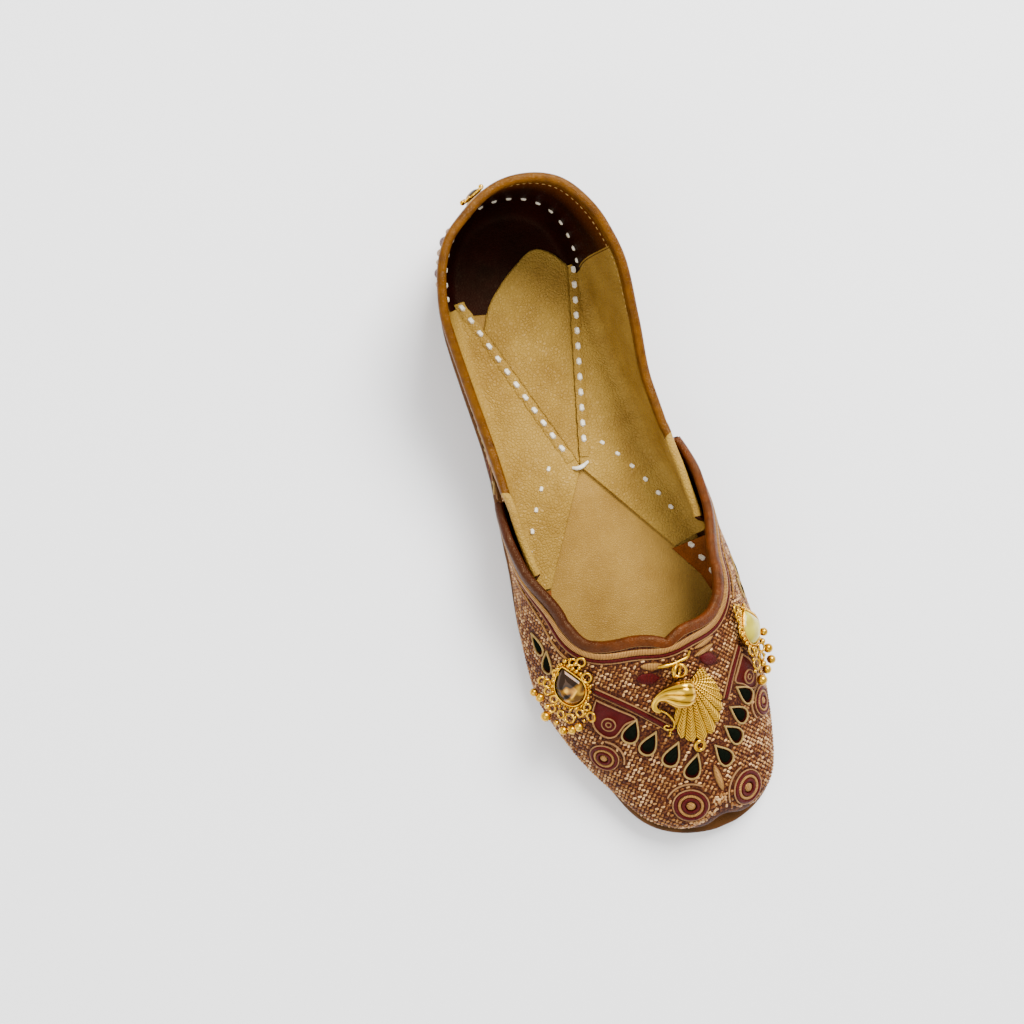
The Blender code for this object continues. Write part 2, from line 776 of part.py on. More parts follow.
def charm_frame(turn, level):
    """Frame of a charm on the upper: turn, level, origin, across, downward, outward."""
    origin = last_point(turn, level)
    outward = last_normal(turn, level)
    down = Vector((0.0, -1.0, 0.0)) if level > 2.2 else last_point(turn, level - 0.05) - origin
    down = (down - outward * down.dot(outward)).normalized()
    return turn, level, origin, outward.cross(down), down, outward


def drape(frame, aside, down, height):
    """A point at these distances in a charm's frame, at a height over the upper."""
    turn, level, origin, across, along, _ = frame
    step = 0.002
    for _ in range(12):
        here = last_point(turn, level) - origin
        miss_a, miss_b = aside - here.dot(across), down - here.dot(along)
        ahead = (last_point(turn + step, level) - origin - here) / step
        above = (last_point(turn, level + step) - origin - here) / step
        ahead_a, ahead_b = ahead.dot(across), ahead.dot(along)
        above_a, above_b = above.dot(across), above.dot(along)
        area = ahead_a * above_b - ahead_b * above_a
        turn += (miss_a * above_b - miss_b * above_a) / area
        level += (ahead_a * miss_b - ahead_b * miss_a) / area
        level = min(4.5, max(0.2, level))
    return last_point(turn, level) + last_normal(turn, level) * height


def add_slab(shape, frame, outline, rim, middle):
    """Adds a charm's solid, draped on the upper: its outline, rim and middle heights."""
    layers = (
        (0.30, CHARM_CLEARANCE),
        (0.65, CHARM_CLEARANCE),
        (1.00, CHARM_CLEARANCE),
        (1.00, CHARM_CLEARANCE + rim),
        (0.65, CHARM_CLEARANCE + middle),
        (0.30, CHARM_CLEARANCE + middle * 1.15),
    )
    rings = []
    for scale, height in layers:
        rings.append([
            shape.verts.new(drape(frame, aside * scale, down * scale, height))
            for aside, down in outline
        ])
    for ring, following in zip(rings, rings[1:]):
        for index in range(len(outline)):
            after = (index + 1) % len(outline)
            shape.faces.new((ring[index], ring[after], following[after], following[index]))
    shape.faces.new(reversed(rings[0]))
    shape.faces.new(rings[-1])


def scalloped_outline(width, length, scallops, depth, count):
    """A rounded outline whose rim is cut in scallops: aside and downward distances."""
    outline = []
    for index in range(count):
        turn = 2.0 * math.pi * index / count
        rim = 1.0 - depth * (0.5 - 0.5 * math.cos(scallops * turn))
        outline.append((width / 2.0 * rim * math.sin(turn), length / 2.0 * rim * math.cos(turn)))
    return outline


def build_peacock_tail(shape):
    """The peacock's stamped fan tail, hanging flat against the vamp."""
    frame = charm_frame(*solve_turn_level(*PEACOCK_TAIL_PLACE))
    outline = scalloped_outline(PEACOCK_TAIL_WIDTH, PEACOCK_TAIL_LENGTH, 12, 0.07, 48)
    add_slab(shape, frame, outline, CHARM_THICKNESS, CHARM_THICKNESS)


def build_peacock_body(shape):
    """The peacock's round body and bent neck, lying over the top of its tail."""
    frame = charm_frame(*solve_turn_level(*PEACOCK_BODY_PLACE))
    outward = frame[-1]
    segments, sides = 14, 12
    rings = []
    for index in range(segments + 1):
        share = index / segments
        aside = PEACOCK_BODY_LENGTH * (0.5 - share)
        bend = PEACOCK_BODY_WIDTH * (0.55 * share * share - 0.25)
        girth = 0.5 * PEACOCK_BODY_WIDTH * math.sin(math.pi * (0.05 + 0.95 * share ** 0.55)) ** 0.75
        girth = max(girth, PEACOCK_NECK_WIDTH / 2.0)
        lift = CHARM_CLEARANCE + CHARM_THICKNESS * 1.15 + GAP + PEACOCK_BODY_WIDTH * 0.42
        centre = drape(frame, aside, bend, lift)
        ahead = drape(frame, aside - 0.0005, bend, lift) - centre
        beside = ahead.cross(outward).normalized()
        ring = []
        for part in range(sides):
            turn = 2.0 * math.pi * part / sides
            out = outward * girth * 0.82 * math.sin(turn)
            ring.append(shape.verts.new(centre + beside * girth * math.cos(turn) + out))
        rings.append(ring)
    for ring, following in zip(rings, rings[1:]):
        for part in range(sides):
            after = (part + 1) % sides
            shape.faces.new((ring[part], ring[after], following[after], following[part]))
    shape.faces.new(rings[0])
    shape.faces.new(reversed(rings[-1]))


def build_hanging_charm(turn, level, width, length):
    """The builder of a framed stone with its fringe of beads, as one solid."""

    def build(shape):
        outline = scalloped_outline(width, length, 9, 0.12, 36)
        add_slab(shape, charm_frame(turn, level), outline, CHARM_THICKNESS, STONE_HEIGHT)

    return build


def clear_scene():
    """Removes every object that is in the scene at the start."""
    for item in list(bpy.data.objects):
        bpy.data.objects.remove(item, do_unlink=True)


def centre_on_box(items):
    """Moves the shoe so that its origin is at the bottom centre of its box."""
    corners = [vertex.co for item in items for vertex in item.data.vertices]
    middle_x = (min(c.x for c in corners) + max(c.x for c in corners)) / 2.0
    middle_y = (min(c.y for c in corners) + max(c.y for c in corners)) / 2.0
    for item in items:
        for vertex in item.data.vertices:
            vertex.co.x -= middle_x
            vertex.co.y -= middle_y


def build_shoe():
    """Builds every piece of the shoe and returns the objects."""
    clear_scene()
    pieces = [
        mesh_object("outsole", build_outsole, "sole leather"),
        mesh_object("insole", build_insole, "insole leather"),
        mesh_object("upper_vamp", build_vamp, "embroidered vamp"),
        mesh_object("upper_quarters", build_quarters, "embroidered quarters"),
        mesh_object("quarter_binding", build_quarter_binding, "binding leather"),
        mesh_object("throat_binding", build_throat_binding, "binding leather"),
        mesh_object("lining_flap_left", build_flap("left"), "lining leather"),
        mesh_object("lining_flap_right", build_flap("right"), "lining leather"),
        mesh_object("peacock_tail", build_peacock_tail, "gilt metal"),
        mesh_object("peacock_charm", build_peacock_body, "gilt metal"),
    ]
    for side, (station, level) in SIDE_CHARM_PLACES.items():
        turn = turn_of(station) if side == "left" else 2.0 - turn_of(station)
        build = build_hanging_charm(turn, level, SIDE_CHARM_WIDTH, SIDE_CHARM_LENGTH)
        pieces.append(mesh_object("side_charm_" + side, build, "gilt metal"))
    station, level = HEEL_CHARM_PLACE
    build = build_hanging_charm(turn_of(station), level, HEEL_CHARM_WIDTH, HEEL_CHARM_LENGTH)
    pieces.append(mesh_object("heel_charm", build, "gilt metal"))
    centre_on_box(pieces)
    return pieces


build_shoe()
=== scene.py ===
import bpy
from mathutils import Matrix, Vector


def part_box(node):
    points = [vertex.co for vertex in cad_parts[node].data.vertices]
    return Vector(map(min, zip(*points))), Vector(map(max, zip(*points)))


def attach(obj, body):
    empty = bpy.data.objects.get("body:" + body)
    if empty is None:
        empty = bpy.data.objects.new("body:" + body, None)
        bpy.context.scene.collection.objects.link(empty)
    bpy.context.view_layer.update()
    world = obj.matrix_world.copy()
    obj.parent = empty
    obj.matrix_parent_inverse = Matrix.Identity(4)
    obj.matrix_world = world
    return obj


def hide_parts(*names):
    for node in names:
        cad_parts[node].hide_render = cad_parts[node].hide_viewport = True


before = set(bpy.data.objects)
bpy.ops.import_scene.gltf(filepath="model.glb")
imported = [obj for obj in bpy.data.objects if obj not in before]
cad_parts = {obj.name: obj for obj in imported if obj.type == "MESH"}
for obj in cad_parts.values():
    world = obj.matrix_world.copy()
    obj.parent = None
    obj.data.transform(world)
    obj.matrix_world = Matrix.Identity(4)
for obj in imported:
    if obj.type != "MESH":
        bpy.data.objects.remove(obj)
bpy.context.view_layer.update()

import copy
import functools
import math

import bmesh
import bpy
import numpy as np
from mathutils import Matrix, Vector

MM = 0.001
# Levels of the last's lines above the sole line
EDGE_LEVEL, CROWN_LEVEL = 2.0, 3.0
# Steps of turn and level used to find directions on the surface
STEP, WIDE_STEP = 0.002, 0.004
SIDE_SIGNS = (("left", -1.0), ("right", 1.0))

# Sizes of the shoe, in metres
SHOE_LENGTH = 0.250
BALL_WIDTH = 0.087
INSTEP_HEIGHT = 0.048
HEEL_HEIGHT = 0.060
SOLE_THICKNESS = 0.0045
SOLE_MARGIN = 0.0014
SOLE_TOE_MARGIN = 0.0036
TOE_SPRING = 0.0035
WAIST_ARCH = 0.0012
TOE_NOTCH_DEPTH = 0.0032
TOE_NOTCH_HALF_WIDTH = 0.0055
INSOLE_THICKNESS = 0.0020
FLAP_THICKNESS = 0.0012
VAMP_WALL = 0.0020
QUARTER_WALL = 0.0018
GAP = 0.0003
EAR_GAP = 0.0025

# Stations as shares of the shoe's length, heel 0 and toe 1
ARCH_START, ARCH_END = 0.33, 0.57
SPRING_START = 0.80
VAMP_REAR_TOP, VAMP_REAR_BOTTOM = 0.432, 0.437
QUARTER_FRONT_TOP, QUARTER_FRONT_BOTTOM = 0.560, 0.575
EAR_STEP_START, EAR_STEP_END = 0.375, 0.430
EAR_OPEN_START, EAR_OPEN_END = 0.400, 0.452
EAR_RISE_END = 0.500
COLLAR_SINK_START = 0.41
THROAT_CORNER = 0.632
OUTSOLE_TURNS = (0.012, 0.988)
INSOLE_TURNS = (0.03, 0.97)
EAR_DIP = 0.32
COLLAR_SINK = 0.12

LINE_ENDS = {
    "sole": (0.011, 0.985),
    "belly": (0.002, 0.994),
    "edge": (0.0196, 0.985),
    "crown": (0.0, 0.958),
}
NOTCH_SHARE = {"sole": 1.0, "belly": 1.0, "edge": 0.55, "crown": 0.0}

# Sections of the last: sides are shares of the ball width, left is -X
SECTION_COLUMNS = (
    "station", "sole_left", "sole_right", "belly_left", "belly_right", "belly_height",
    "edge_left", "edge_right", "edge_height", "crown_side", "crown_height",
)
SECTIONS = (
    (0.000, 0.023, 0.023, 0.023, 0.023, 0.42, 0.030, 0.030, 0.960, 0.00, 1.50),
    (0.024, -0.160, 0.205, -0.170, 0.218, 0.42, -0.172, 0.230, 0.960, 0.00, 1.50),
    (0.056, -0.240, 0.268, -0.255, 0.284, 0.42, -0.294, 0.299, 0.950, 0.00, 1.50),
    (0.104, -0.297, 0.302, -0.315, 0.320, 0.42, -0.368, 0.356, 0.905, 0.00, 1.50),
    (0.168, -0.333, 0.325, -0.355, 0.345, 0.42, -0.405, 0.384, 0.835, 0.00, 1.45),
    (0.248, -0.343, 0.328, -0.365, 0.350, 0.41, -0.400, 0.370, 0.720, 0.00, 1.35),
    (0.344, -0.350, 0.330, -0.372, 0.352, 0.38, -0.392, 0.346, 0.620, 0.00, 1.25),
    (0.375, -0.358, 0.340, -0.382, 0.363, 0.37, -0.393, 0.346, 0.620, 0.00, 1.22),
    (0.400, -0.365, 0.348, -0.390, 0.371, 0.36, -0.406, 0.3575, 0.622, 0.00, 1.20),
    (0.425, -0.378, 0.362, -0.403, 0.386, 0.347, -0.434, 0.386, 0.646, 0.00, 1.17),
    (0.452, -0.390, 0.378, -0.415, 0.402, 0.336, -0.452, 0.403, 0.680, 0.00, 1.145),
    (0.485, -0.405, 0.400, -0.428, 0.423, 0.325, -0.456, 0.406, 0.720, 0.00, 1.13),
    (0.536, -0.425, 0.430, -0.447, 0.453, 0.31, -0.441, 0.399, 0.755, 0.00, 1.12),
    (0.632, -0.475, 0.455, -0.495, 0.473, 0.29, -0.354, 0.329, 0.800, 0.000, 1.07),
    (0.720, -0.497, 0.452, -0.520, 0.470, 0.27, -0.370, 0.335, 0.680, 0.000, 1.00),
    (0.816, -0.440, 0.412, -0.463, 0.432, 0.25, -0.335, 0.315, 0.550, 0.008, 0.82),
    (0.904, -0.332, 0.356, -0.352, 0.374, 0.23, -0.245, 0.275, 0.430, 0.022, 0.65),
    (0.960, -0.238, 0.288, -0.253, 0.306, 0.22, -0.165, 0.215, 0.365, 0.035, 0.53),
    (1.000, 0.040, 0.040, 0.040, 0.040, 0.20, 0.040, 0.040, 0.330, 0.040, 0.44),
)
THROAT_LEFT_LOBE = (
    (0.6625, -0.315), (0.6755, -0.262), (0.6815, -0.190), (0.6840, -0.130), (0.6910, -0.066),
)
THROAT_NOTCH = (0.7035, 0.0)
THROAT_RIGHT_LOBE = (
    (0.6945, 0.068), (0.6930, 0.120), (0.6930, 0.170), (0.6890, 0.222), (0.6770, 0.268),
    (0.6600, 0.302),
)
FLAP_BACK = {"left": (0.134, -0.225), "right": (0.134, 0.265)}
FLAP_TIE = (0.424, 0.002)
FLAP_FRONT = {"left": (0.580, -0.302), "right": (0.585, 0.274)}

# The photograph's view, worked out in the shoe's own frame before centring
CAMERA_PLACE = (-0.11180, -0.007217, 0.604302)
CAMERA_RIGHT = (0.92981657, -0.34919369, 0.11621067)
CAMERA_UP = (0.34210588, 0.93651463, 0.07683697)
CAMERA_BACK = (-0.13566398, -0.03168794, 0.99024803)
CAMERA_LENS = 56.49


def smooth_step(start, end, value):
    """Rises softly from 0 at start to 1 at end."""
    share = np.clip((value - start) / (end - start), 0.0, 1.0)
    return share * share * (3.0 - 2.0 * share)


def turn_of(station):
    """The turn (0 at the heel, 1 at the toe) whose section has this station share."""
    return np.arccos(1.0 - 2.0 * np.asarray(station, float)) / math.pi


def station_of(turn):
    """The section's station share at this turn."""
    return (1.0 - np.cos(math.pi * np.asarray(turn, float))) / 2.0


class SmoothLoop:
    """A closed curve of one value round the shoe, through its knots without overshoot."""

    def __init__(self, knots, period=2.0):
        self.turns = np.array([float(turn) for turn, _ in knots])
        self.values = np.array([value for _, value in knots])
        self.period = period
        self.steps = np.diff(np.append(self.turns, self.turns[0] + period))
        after = (np.roll(self.values, -1) - self.values) / self.steps
        before = np.roll(after, 1)
        earlier = np.roll(self.steps, 1)
        near = 2.0 * self.steps + earlier
        far = self.steps + 2.0 * earlier
        rising = before * after > 0.0
        safe_before = np.where(rising, before, 1.0)
        safe_after = np.where(rising, after, 1.0)
        blended = (near + far) / (near / safe_before + far / safe_after)
        self.tangents = np.where(rising, blended, 0.0)

    def __call__(self, turn):
        turn = np.mod(turn, self.period)
        index = np.searchsorted(self.turns, turn + 1e-12, side="right") - 1
        following = (index + 1) % len(self.turns)
        step = self.steps[index]
        share = (turn - self.turns[index]) / step
        back = 1.0 - share
        return (
            self.values[index] * (1.0 + 2.0 * share) * back * back
            + self.tangents[index] * step * share * back * back
            + self.values[following] * share * share * (3.0 - 2.0 * share)
            - self.tangents[following] * step * share * share * back
        )


def section_loop(left, right=None):
    """One column of the sections, led round the shoe: left side out, right side back."""
    first = SECTION_COLUMNS.index(left)
    second = SECTION_COLUMNS.index(right or left)
    knots = [(turn_of(row[0]), row[first]) for row in SECTIONS]
    knots += [(2.0 - turn_of(row[0]), row[second]) for row in reversed(SECTIONS[1:-1])]
    return SmoothLoop(knots)


SIDES = {
    "sole": section_loop("sole_left", "sole_right"),
    "belly": section_loop("belly_left", "belly_right"),
    "edge": section_loop("edge_left", "edge_right"),
    "crown": section_loop("crown_side"),
}
HEIGHTS = {
    "belly": section_loop("belly_height"),
    "edge": section_loop("edge_height"),
    "crown": section_loop("crown_height"),
}


def sole_rise(station):
    """Height of the sole's underside: flat heel and forefoot, low arch, toe spring."""
    arch = np.clip((station - ARCH_START) / (ARCH_END - ARCH_START), 0.0, 1.0)
    spring = np.clip((station - SPRING_START) / (1.0 - SPRING_START), 0.0, None)
    return WAIST_ARCH * np.sin(math.pi * arch) ** 2 + TOE_SPRING * spring * spring


def seat_height(station):
    """Height on which the upper stands: the sole's top and a clearance."""
    return sole_rise(station) + SOLE_THICKNESS + GAP


def ruling_height(station):
    """The height that the sections' shares follow: heel, then instep."""
    return HEEL_HEIGHT + (INSTEP_HEIGHT - HEEL_HEIGHT) * smooth_step(0.30, 0.55, station)


def notched(station, side, line):
    """Station moved back where the toe's front edge dips between its two lobes."""
    across = (side - SIDES["sole"](1.0)) * BALL_WIDTH / TOE_NOTCH_HALF_WIDTH
    depth = TOE_NOTCH_DEPTH / SHOE_LENGTH * NOTCH_SHARE[line]
    return station - depth * np.exp(-across * across) * smooth_step(0.90, 0.985, station)


def plan_point(station, side, height):
    """Points of the shoe from station and side shares and heights."""
    station, side, height = np.broadcast_arrays(station, side, height)
    return np.stack([side * BALL_WIDTH, (0.5 - station) * SHOE_LENGTH, height * 1.0], -1)


def line_point(line, turn, dips=True):
    """Points of one of the last's four lines at these turns round the shoe."""
    back, front = LINE_ENDS[line]
    share = station_of(turn)
    side = SIDES[line](turn)
    station = back + (front - back) * share
    if dips:
        station = notched(station, side, line)
    if line == "sole":
        return plan_point(station, side, seat_height(station))
    rule = INSTEP_HEIGHT if line == "belly" else ruling_height(share)
    return plan_point(station, side, sole_rise(station) + HEIGHTS[line](turn) * rule)


def hermite(start, end, leave, arrive, share):
    """Cubic between two points with the given tangents."""
    back = 1.0 - share
    return (
        start * ((1.0 + 2.0 * share) * back * back)
        + leave * (share * back * back)
        + end * (share * share * (3.0 - 2.0 * share))
        - arrive * (share * share * back)
    )


def near_side(turn, level):
    """Turns and levels as arrays, with places past the crown named from their own side."""
    turn, level = np.broadcast_arrays(np.asarray(turn, float), np.asarray(level, float))
    turn = np.where(level > CROWN_LEVEL, 2.0 - turn, turn)
    return turn, np.minimum(level, 2.0 * CROWN_LEVEL - level)


def last_point(turn, level):
    """The upper's outer face: level 0 sole line, 1 belly, 2 edge, 3 crown, then down again."""
    turn, level = near_side(turn, level)
    level = np.clip(level, 0.0, CROWN_LEVEL)
    sole, belly = line_point("sole", turn), line_point("belly", turn)
    edge, crown = line_point("edge", turn), line_point("crown", turn)
    domed = smooth_step(0.47, 0.66, station_of(turn))[..., None]
    upright = (belly - sole) * (0.0, 0.0, 1.0)
    leave_sole = upright + 0.4 * (belly - sole)
    at_belly = 0.5 * (edge - sole)
    at_edge = (edge - belly) * (1.0 - domed) + 0.5 * (crown - belly) * domed
    at_crown = (crown - edge) * (1.2, 0.0, 0.0)
    height = level[..., None]
    low = hermite(sole, belly, leave_sole, at_belly, height)
    middle = hermite(belly, edge, at_belly, at_edge, height - 1.0)
    high = hermite(edge, crown, at_edge, at_crown, height - 2.0)
    return np.where(height <= 1.0, low, np.where(height <= 2.0, middle, high))


def unit(vectors):
    """The vectors at length one."""
    return vectors / np.maximum(np.linalg.norm(vectors, axis=-1, keepdims=True), 1e-12)


def run_lengths(points):
    """The length run along the points up to each of them."""
    return np.append(0.0, np.cumsum(np.linalg.norm(np.diff(points, axis=0), axis=1)))


def circle(count):
    """This many even angles round a circle."""
    return 2.0 * math.pi * np.arange(count) / count


def last_normal(turn, level):
    """Outward direction of the upper's outer face."""
    turn, level = near_side(turn, level)
    along = last_point(turn + STEP, level) - last_point(turn - STEP, level)
    high, low = np.minimum(level + STEP, CROWN_LEVEL), np.maximum(level - STEP, 0.0)
    upward = last_point(turn, high) - last_point(turn, low)
    round_turn = np.mod(turn, 2.0)
    sign = np.where(round_turn <= 1.0, 1.0, -1.0)[..., None]
    crown = line_point("crown", turn + STEP) - line_point("crown", turn - STEP)
    toe_end = (line_point("crown", 0.99) - line_point("crown", 0.97)) * sign
    at_toe = (np.abs(round_turn - 1.0) < 2.0 * STEP)[..., None]
    crown = np.where(at_toe, toe_end, crown)
    at_crown = (level > 2.99)[..., None]
    along = np.where(at_crown, crown, along)
    upward = np.where(at_crown, sign * np.array((1.0, 0.0, 0.0)), upward)
    return unit(np.cross(along, upward))


def ear_inset(turn, level):
    """How far the quarters lie inside the last where the vamp's ears cover them."""
    station = station_of(turn)
    covered = smooth_step(EAR_STEP_START, EAR_STEP_END, station)
    opened = smooth_step(EAR_OPEN_START, EAR_OPEN_END, station) * smooth_step(1.05, 1.65, level)
    return covered * (VAMP_WALL + GAP) + opened * EAR_GAP


def quarter_point(turn, level, deeper=0.0):
    """The quarters' outer face, or a face that lies deeper in their wall."""
    inset = ear_inset(turn, level)[..., None] + deeper
    return last_point(turn, level) - last_normal(turn, level) * inset


def vamp_point(turn, level, deeper=0.0):
    """The vamp's outer face, or a face that lies deeper in its wall."""
    return last_point(turn, level) - last_normal(turn, level) * deeper


def quarter_top(turn):
    """Level of the quarters' top edge: the collar, sinking under the ears in front."""
    sunk = smooth_step(COLLAR_SINK_START, QUARTER_FRONT_TOP, station_of(turn))
    return EDGE_LEVEL - COLLAR_SINK * sunk


def ear_top(turn):
    """Level of an ear's top edge: it rises from its low rear end to the edge line."""
    rise = smooth_step(VAMP_REAR_TOP, EAR_RISE_END, station_of(turn))
    return EDGE_LEVEL - EAR_DIP * (1.0 - rise)


def solve(turn, level, origin, first, second, wanted_first, wanted_second):
    """Turns and levels whose points lie at the wanted distances along two directions."""
    for _ in range(14):
        here = last_point(turn, level) - origin
        ahead = (last_point(turn + STEP, level) - origin - here) / STEP
        above = (last_point(turn, level + STEP) - origin - here) / STEP
        miss_a = wanted_first - (here * first).sum(-1)
        miss_b = wanted_second - (here * second).sum(-1)
        ahead_a, ahead_b = (ahead * first).sum(-1), (ahead * second).sum(-1)
        above_a, above_b = (above * first).sum(-1), (above * second).sum(-1)
        area = ahead_a * above_b - ahead_b * above_a
        area = np.where(np.abs(area) < 1e-9, 1e-9, area)
        turn = turn + np.clip((miss_a * above_b - miss_b * above_a) / area, -0.1, 0.1)
        level = level + np.clip((ahead_a * miss_b - ahead_b * miss_a) / area, -0.4, 0.4)
        level = np.clip(level, 0.15, 4.6)
    return turn, level


def spot(station, side):
    """Turn and level on the vamp at a station and a side in plan, both in millimetres."""
    station = np.asarray(station, float) * MM / SHOE_LENGTH
    side = np.asarray(side, float) * MM / BALL_WIDTH
    crown = SIDES["crown"](turn_of(station))
    start = turn_of(station)
    turn = np.where(side < crown, start, 2.0 - start)
    level = np.full(turn.shape, 2.4)
    plan = plan_point(station, side, 0.0)
    ahead, beside = np.array((1.0, 0.0, 0.0)), np.array((0.0, 1.0, 0.0))
    return solve(turn, level, 0.0, ahead, beside, plan[..., 0], plan[..., 1])


def smooth_through(points, count):
    """Evenly spaced points on a smooth curve through the given points."""
    points = np.asarray(points, float)
    padded = np.vstack([points[:1], points, points[-1:]])
    dense = []
    shares = np.linspace(0.0, 1.0, 24, endpoint=False)[:, None]
    for before, start, end, after in zip(padded, padded[1:], padded[2:], padded[3:]):
        dense.append(hermite(start, end, 0.5 * (end - before), 0.5 * (after - start), shares))
    dense = np.vstack(dense + [points[-1:]])
    return evenly(dense, count)


def evenly(points, count):
    """The same curve with this many even steps."""
    lengths = run_lengths(points)
    wanted = np.linspace(0.0, lengths[-1], count + 1)
    return np.stack([np.interp(wanted, lengths, column) for column in points.T], -1)


def throat_edge(count):
    """Turns and levels along the throat, from the left ear over the notch to the right."""
    sides = []
    for side, lobe in (("left", THROAT_LEFT_LOBE), ("right", THROAT_RIGHT_LOBE[::-1])):
        corner_turn = turn_of(THROAT_CORNER)
        rear_turn = turn_of(VAMP_REAR_TOP)
        ear = np.linspace(rear_turn, corner_turn, count // 2, endpoint=False)
        if side == "right":
            ear, corner_turn = 2.0 - ear, 2.0 - corner_turn
        corner = line_point("edge", corner_turn)[:2]
        plan = [corner] + [plan_point(*row, 0.0)[:2] for row in lobe + (THROAT_NOTCH,)]
        places = smooth_through(plan, count // 2)[:-1]
        station = (0.5 - places[:, 1] / SHOE_LENGTH) * SHOE_LENGTH / MM
        turn, level = spot(station, places[:, 0] / MM)
        turn = np.append(ear, turn)
        level = np.append(ear_top(ear), level)
        sides.append((turn, level))
    (left_turn, left_level), (right_turn, right_level) = sides
    back, front = LINE_ENDS["crown"]
    notch = turn_of((THROAT_NOTCH[0] - back) / (front - back))
    right_turn, right_level = 2.0 - right_turn[::-1], 2.0 * CROWN_LEVEL - right_level[::-1]
    turn = np.concatenate([left_turn, [notch], right_turn])
    level = np.concatenate([left_level, [CROWN_LEVEL], right_level])
    return turn, level


def outline_at(turn, grow, dips=True):
    """Points of the upper's sole line moved out by a distance in plan."""
    behind, ahead = (line_point("sole", turn + step, dips) for step in (-WIDE_STEP, WIDE_STEP))
    along = ahead - behind
    outward = np.stack([along[..., 1], -along[..., 0], 0.0 * along[..., 0]], -1)
    return line_point("sole", turn, dips) + unit(outward) * np.asarray(grow)[..., None]


def sole_grow(turn):
    """How far the outsole stands out from the upper's sole line."""
    return SOLE_MARGIN + SOLE_TOE_MARGIN * smooth_step(0.85, 1.0, station_of(turn))


def frame_shift():
    """What centring on the box added to every plan place."""
    turns = np.linspace(*OUTSOLE_TURNS, 45)
    turns = np.concatenate([turns, 2.0 - turns])
    edge = outline_at(turns, sole_grow(turns), dips=False)
    shift = np.mean(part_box("outsole"), axis=0) - (edge.min(0) + edge.max(0)) / 2.0
    return shift * (1.0, 1.0, 0.0)


SHIFT = frame_shift()


class Piece:
    """Gathers the points and faces of one joined mesh, with a flow value at each point."""

    def __init__(self):
        self.points = []
        self.flows = []
        self.faces = []
        self.count = 0

    def add(self, points, faces, flow):
        """Adds points with their faces, and where each lies along its own grain."""
        points = np.asarray(points, float).reshape(-1, 3)
        flow = np.asarray(flow, float)
        flow = flow.reshape(-1, 3) if flow.ndim > 1 else flow
        self.points.append(points)
        self.flows.append(np.broadcast_to(flow, points.shape))
        self.faces.extend((np.asarray(faces) + self.count).tolist())
        self.count += len(points)

    def grid(self, points, flow=(0.0, 0.0, 0.0), around=False, ends=False):
        """Adds a sheet from rows of points; around closes each row, ends the last on the first."""
        rows, columns = points.shape[:2]
        index = np.arange(rows * columns).reshape(rows, columns)
        if around:
            index = np.column_stack([index, index[:, 0]])
        if ends:
            index = np.vstack([index, index[:1]])
        corners = (index[:-1, :-1], index[:-1, 1:], index[1:, 1:], index[1:, :-1])
        self.add(points, np.stack(corners, -1).reshape(-1, 4), flow)

    def shell(self, outer, inner, rims="lrbt"):
        """Adds a walled sheet: two matching sheets and the rims between them."""
        self.grid(outer)
        self.grid(inner)
        edges = {
            "l": (outer[0], inner[0]),
            "r": (outer[-1], inner[-1]),
            "b": (outer[:, 0], inner[:, 0]),
            "t": (outer[:, -1], inner[:, -1]),
        }
        for rim in rims:
            self.grid(np.stack(edges[rim]))

    def place(self, name, material, slot, replaces=(), sharp=50.0, merge=0.00002):
        """Makes the object, gives it its material and lets it ride on the shoe."""
        mesh = bpy.data.meshes.new(name)
        points = np.concatenate(self.points) + SHIFT
        mesh.from_pydata(points.tolist(), [], self.faces)
        flow = mesh.attributes.new("flow", "FLOAT_VECTOR", "POINT")
        flow.data.foreach_set("vector", np.concatenate(self.flows).ravel())
        shape = bmesh.new()
        shape.from_mesh(mesh)
        bmesh.ops.remove_doubles(shape, verts=shape.verts, dist=merge)
        bmesh.ops.recalc_face_normals(shape, faces=shape.faces)
        shape.to_mesh(mesh)
        shape.free()
        mesh.shade_smooth()
        mesh.set_sharp_from_angle(angle=math.radians(sharp))
        mesh.materials.append(material)
        item = bpy.data.objects.new(name, mesh)
        bpy.context.scene.collection.objects.link(item)
        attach(item, "root")
        if replaces:
            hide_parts(*replaces)
        return item


class Path:
    """A line in space with its outward, onward and sideways directions."""

    def __init__(self, points, outward, closed=False):
        self.points = np.asarray(points, float)
        self.outward = np.broadcast_to(np.asarray(outward, float), self.points.shape)
        self.closed = closed
        if closed:
            onward = np.roll(self.points, -1, axis=0) - np.roll(self.points, 1, axis=0)
        else:
            onward = np.gradient(self.points, axis=0)
        self.onward = unit(onward)
        self.aside = unit(np.cross(self.outward, self.onward))
        self.outward = unit(np.cross(self.onward, self.aside))
        self.lengths = run_lengths(self.points)

    def between(self, kept):
        """The part of the line whose points are kept."""
        part = copy.copy(self)
        for name in ("points", "outward", "onward", "aside"):
            setattr(part, name, getattr(self, name)[kept])
        part.lengths = self.lengths[kept] - self.lengths[kept][0]
        return part

    def at(self, lengths):
        """Points, outward and onward directions at these lengths along the line."""
        places, outward, onward = (
            np.stack([np.interp(lengths, self.lengths, column) for column in values.T], -1)
            for values in (self.points, self.outward, self.onward)
        )
        return places, unit(outward), unit(onward)


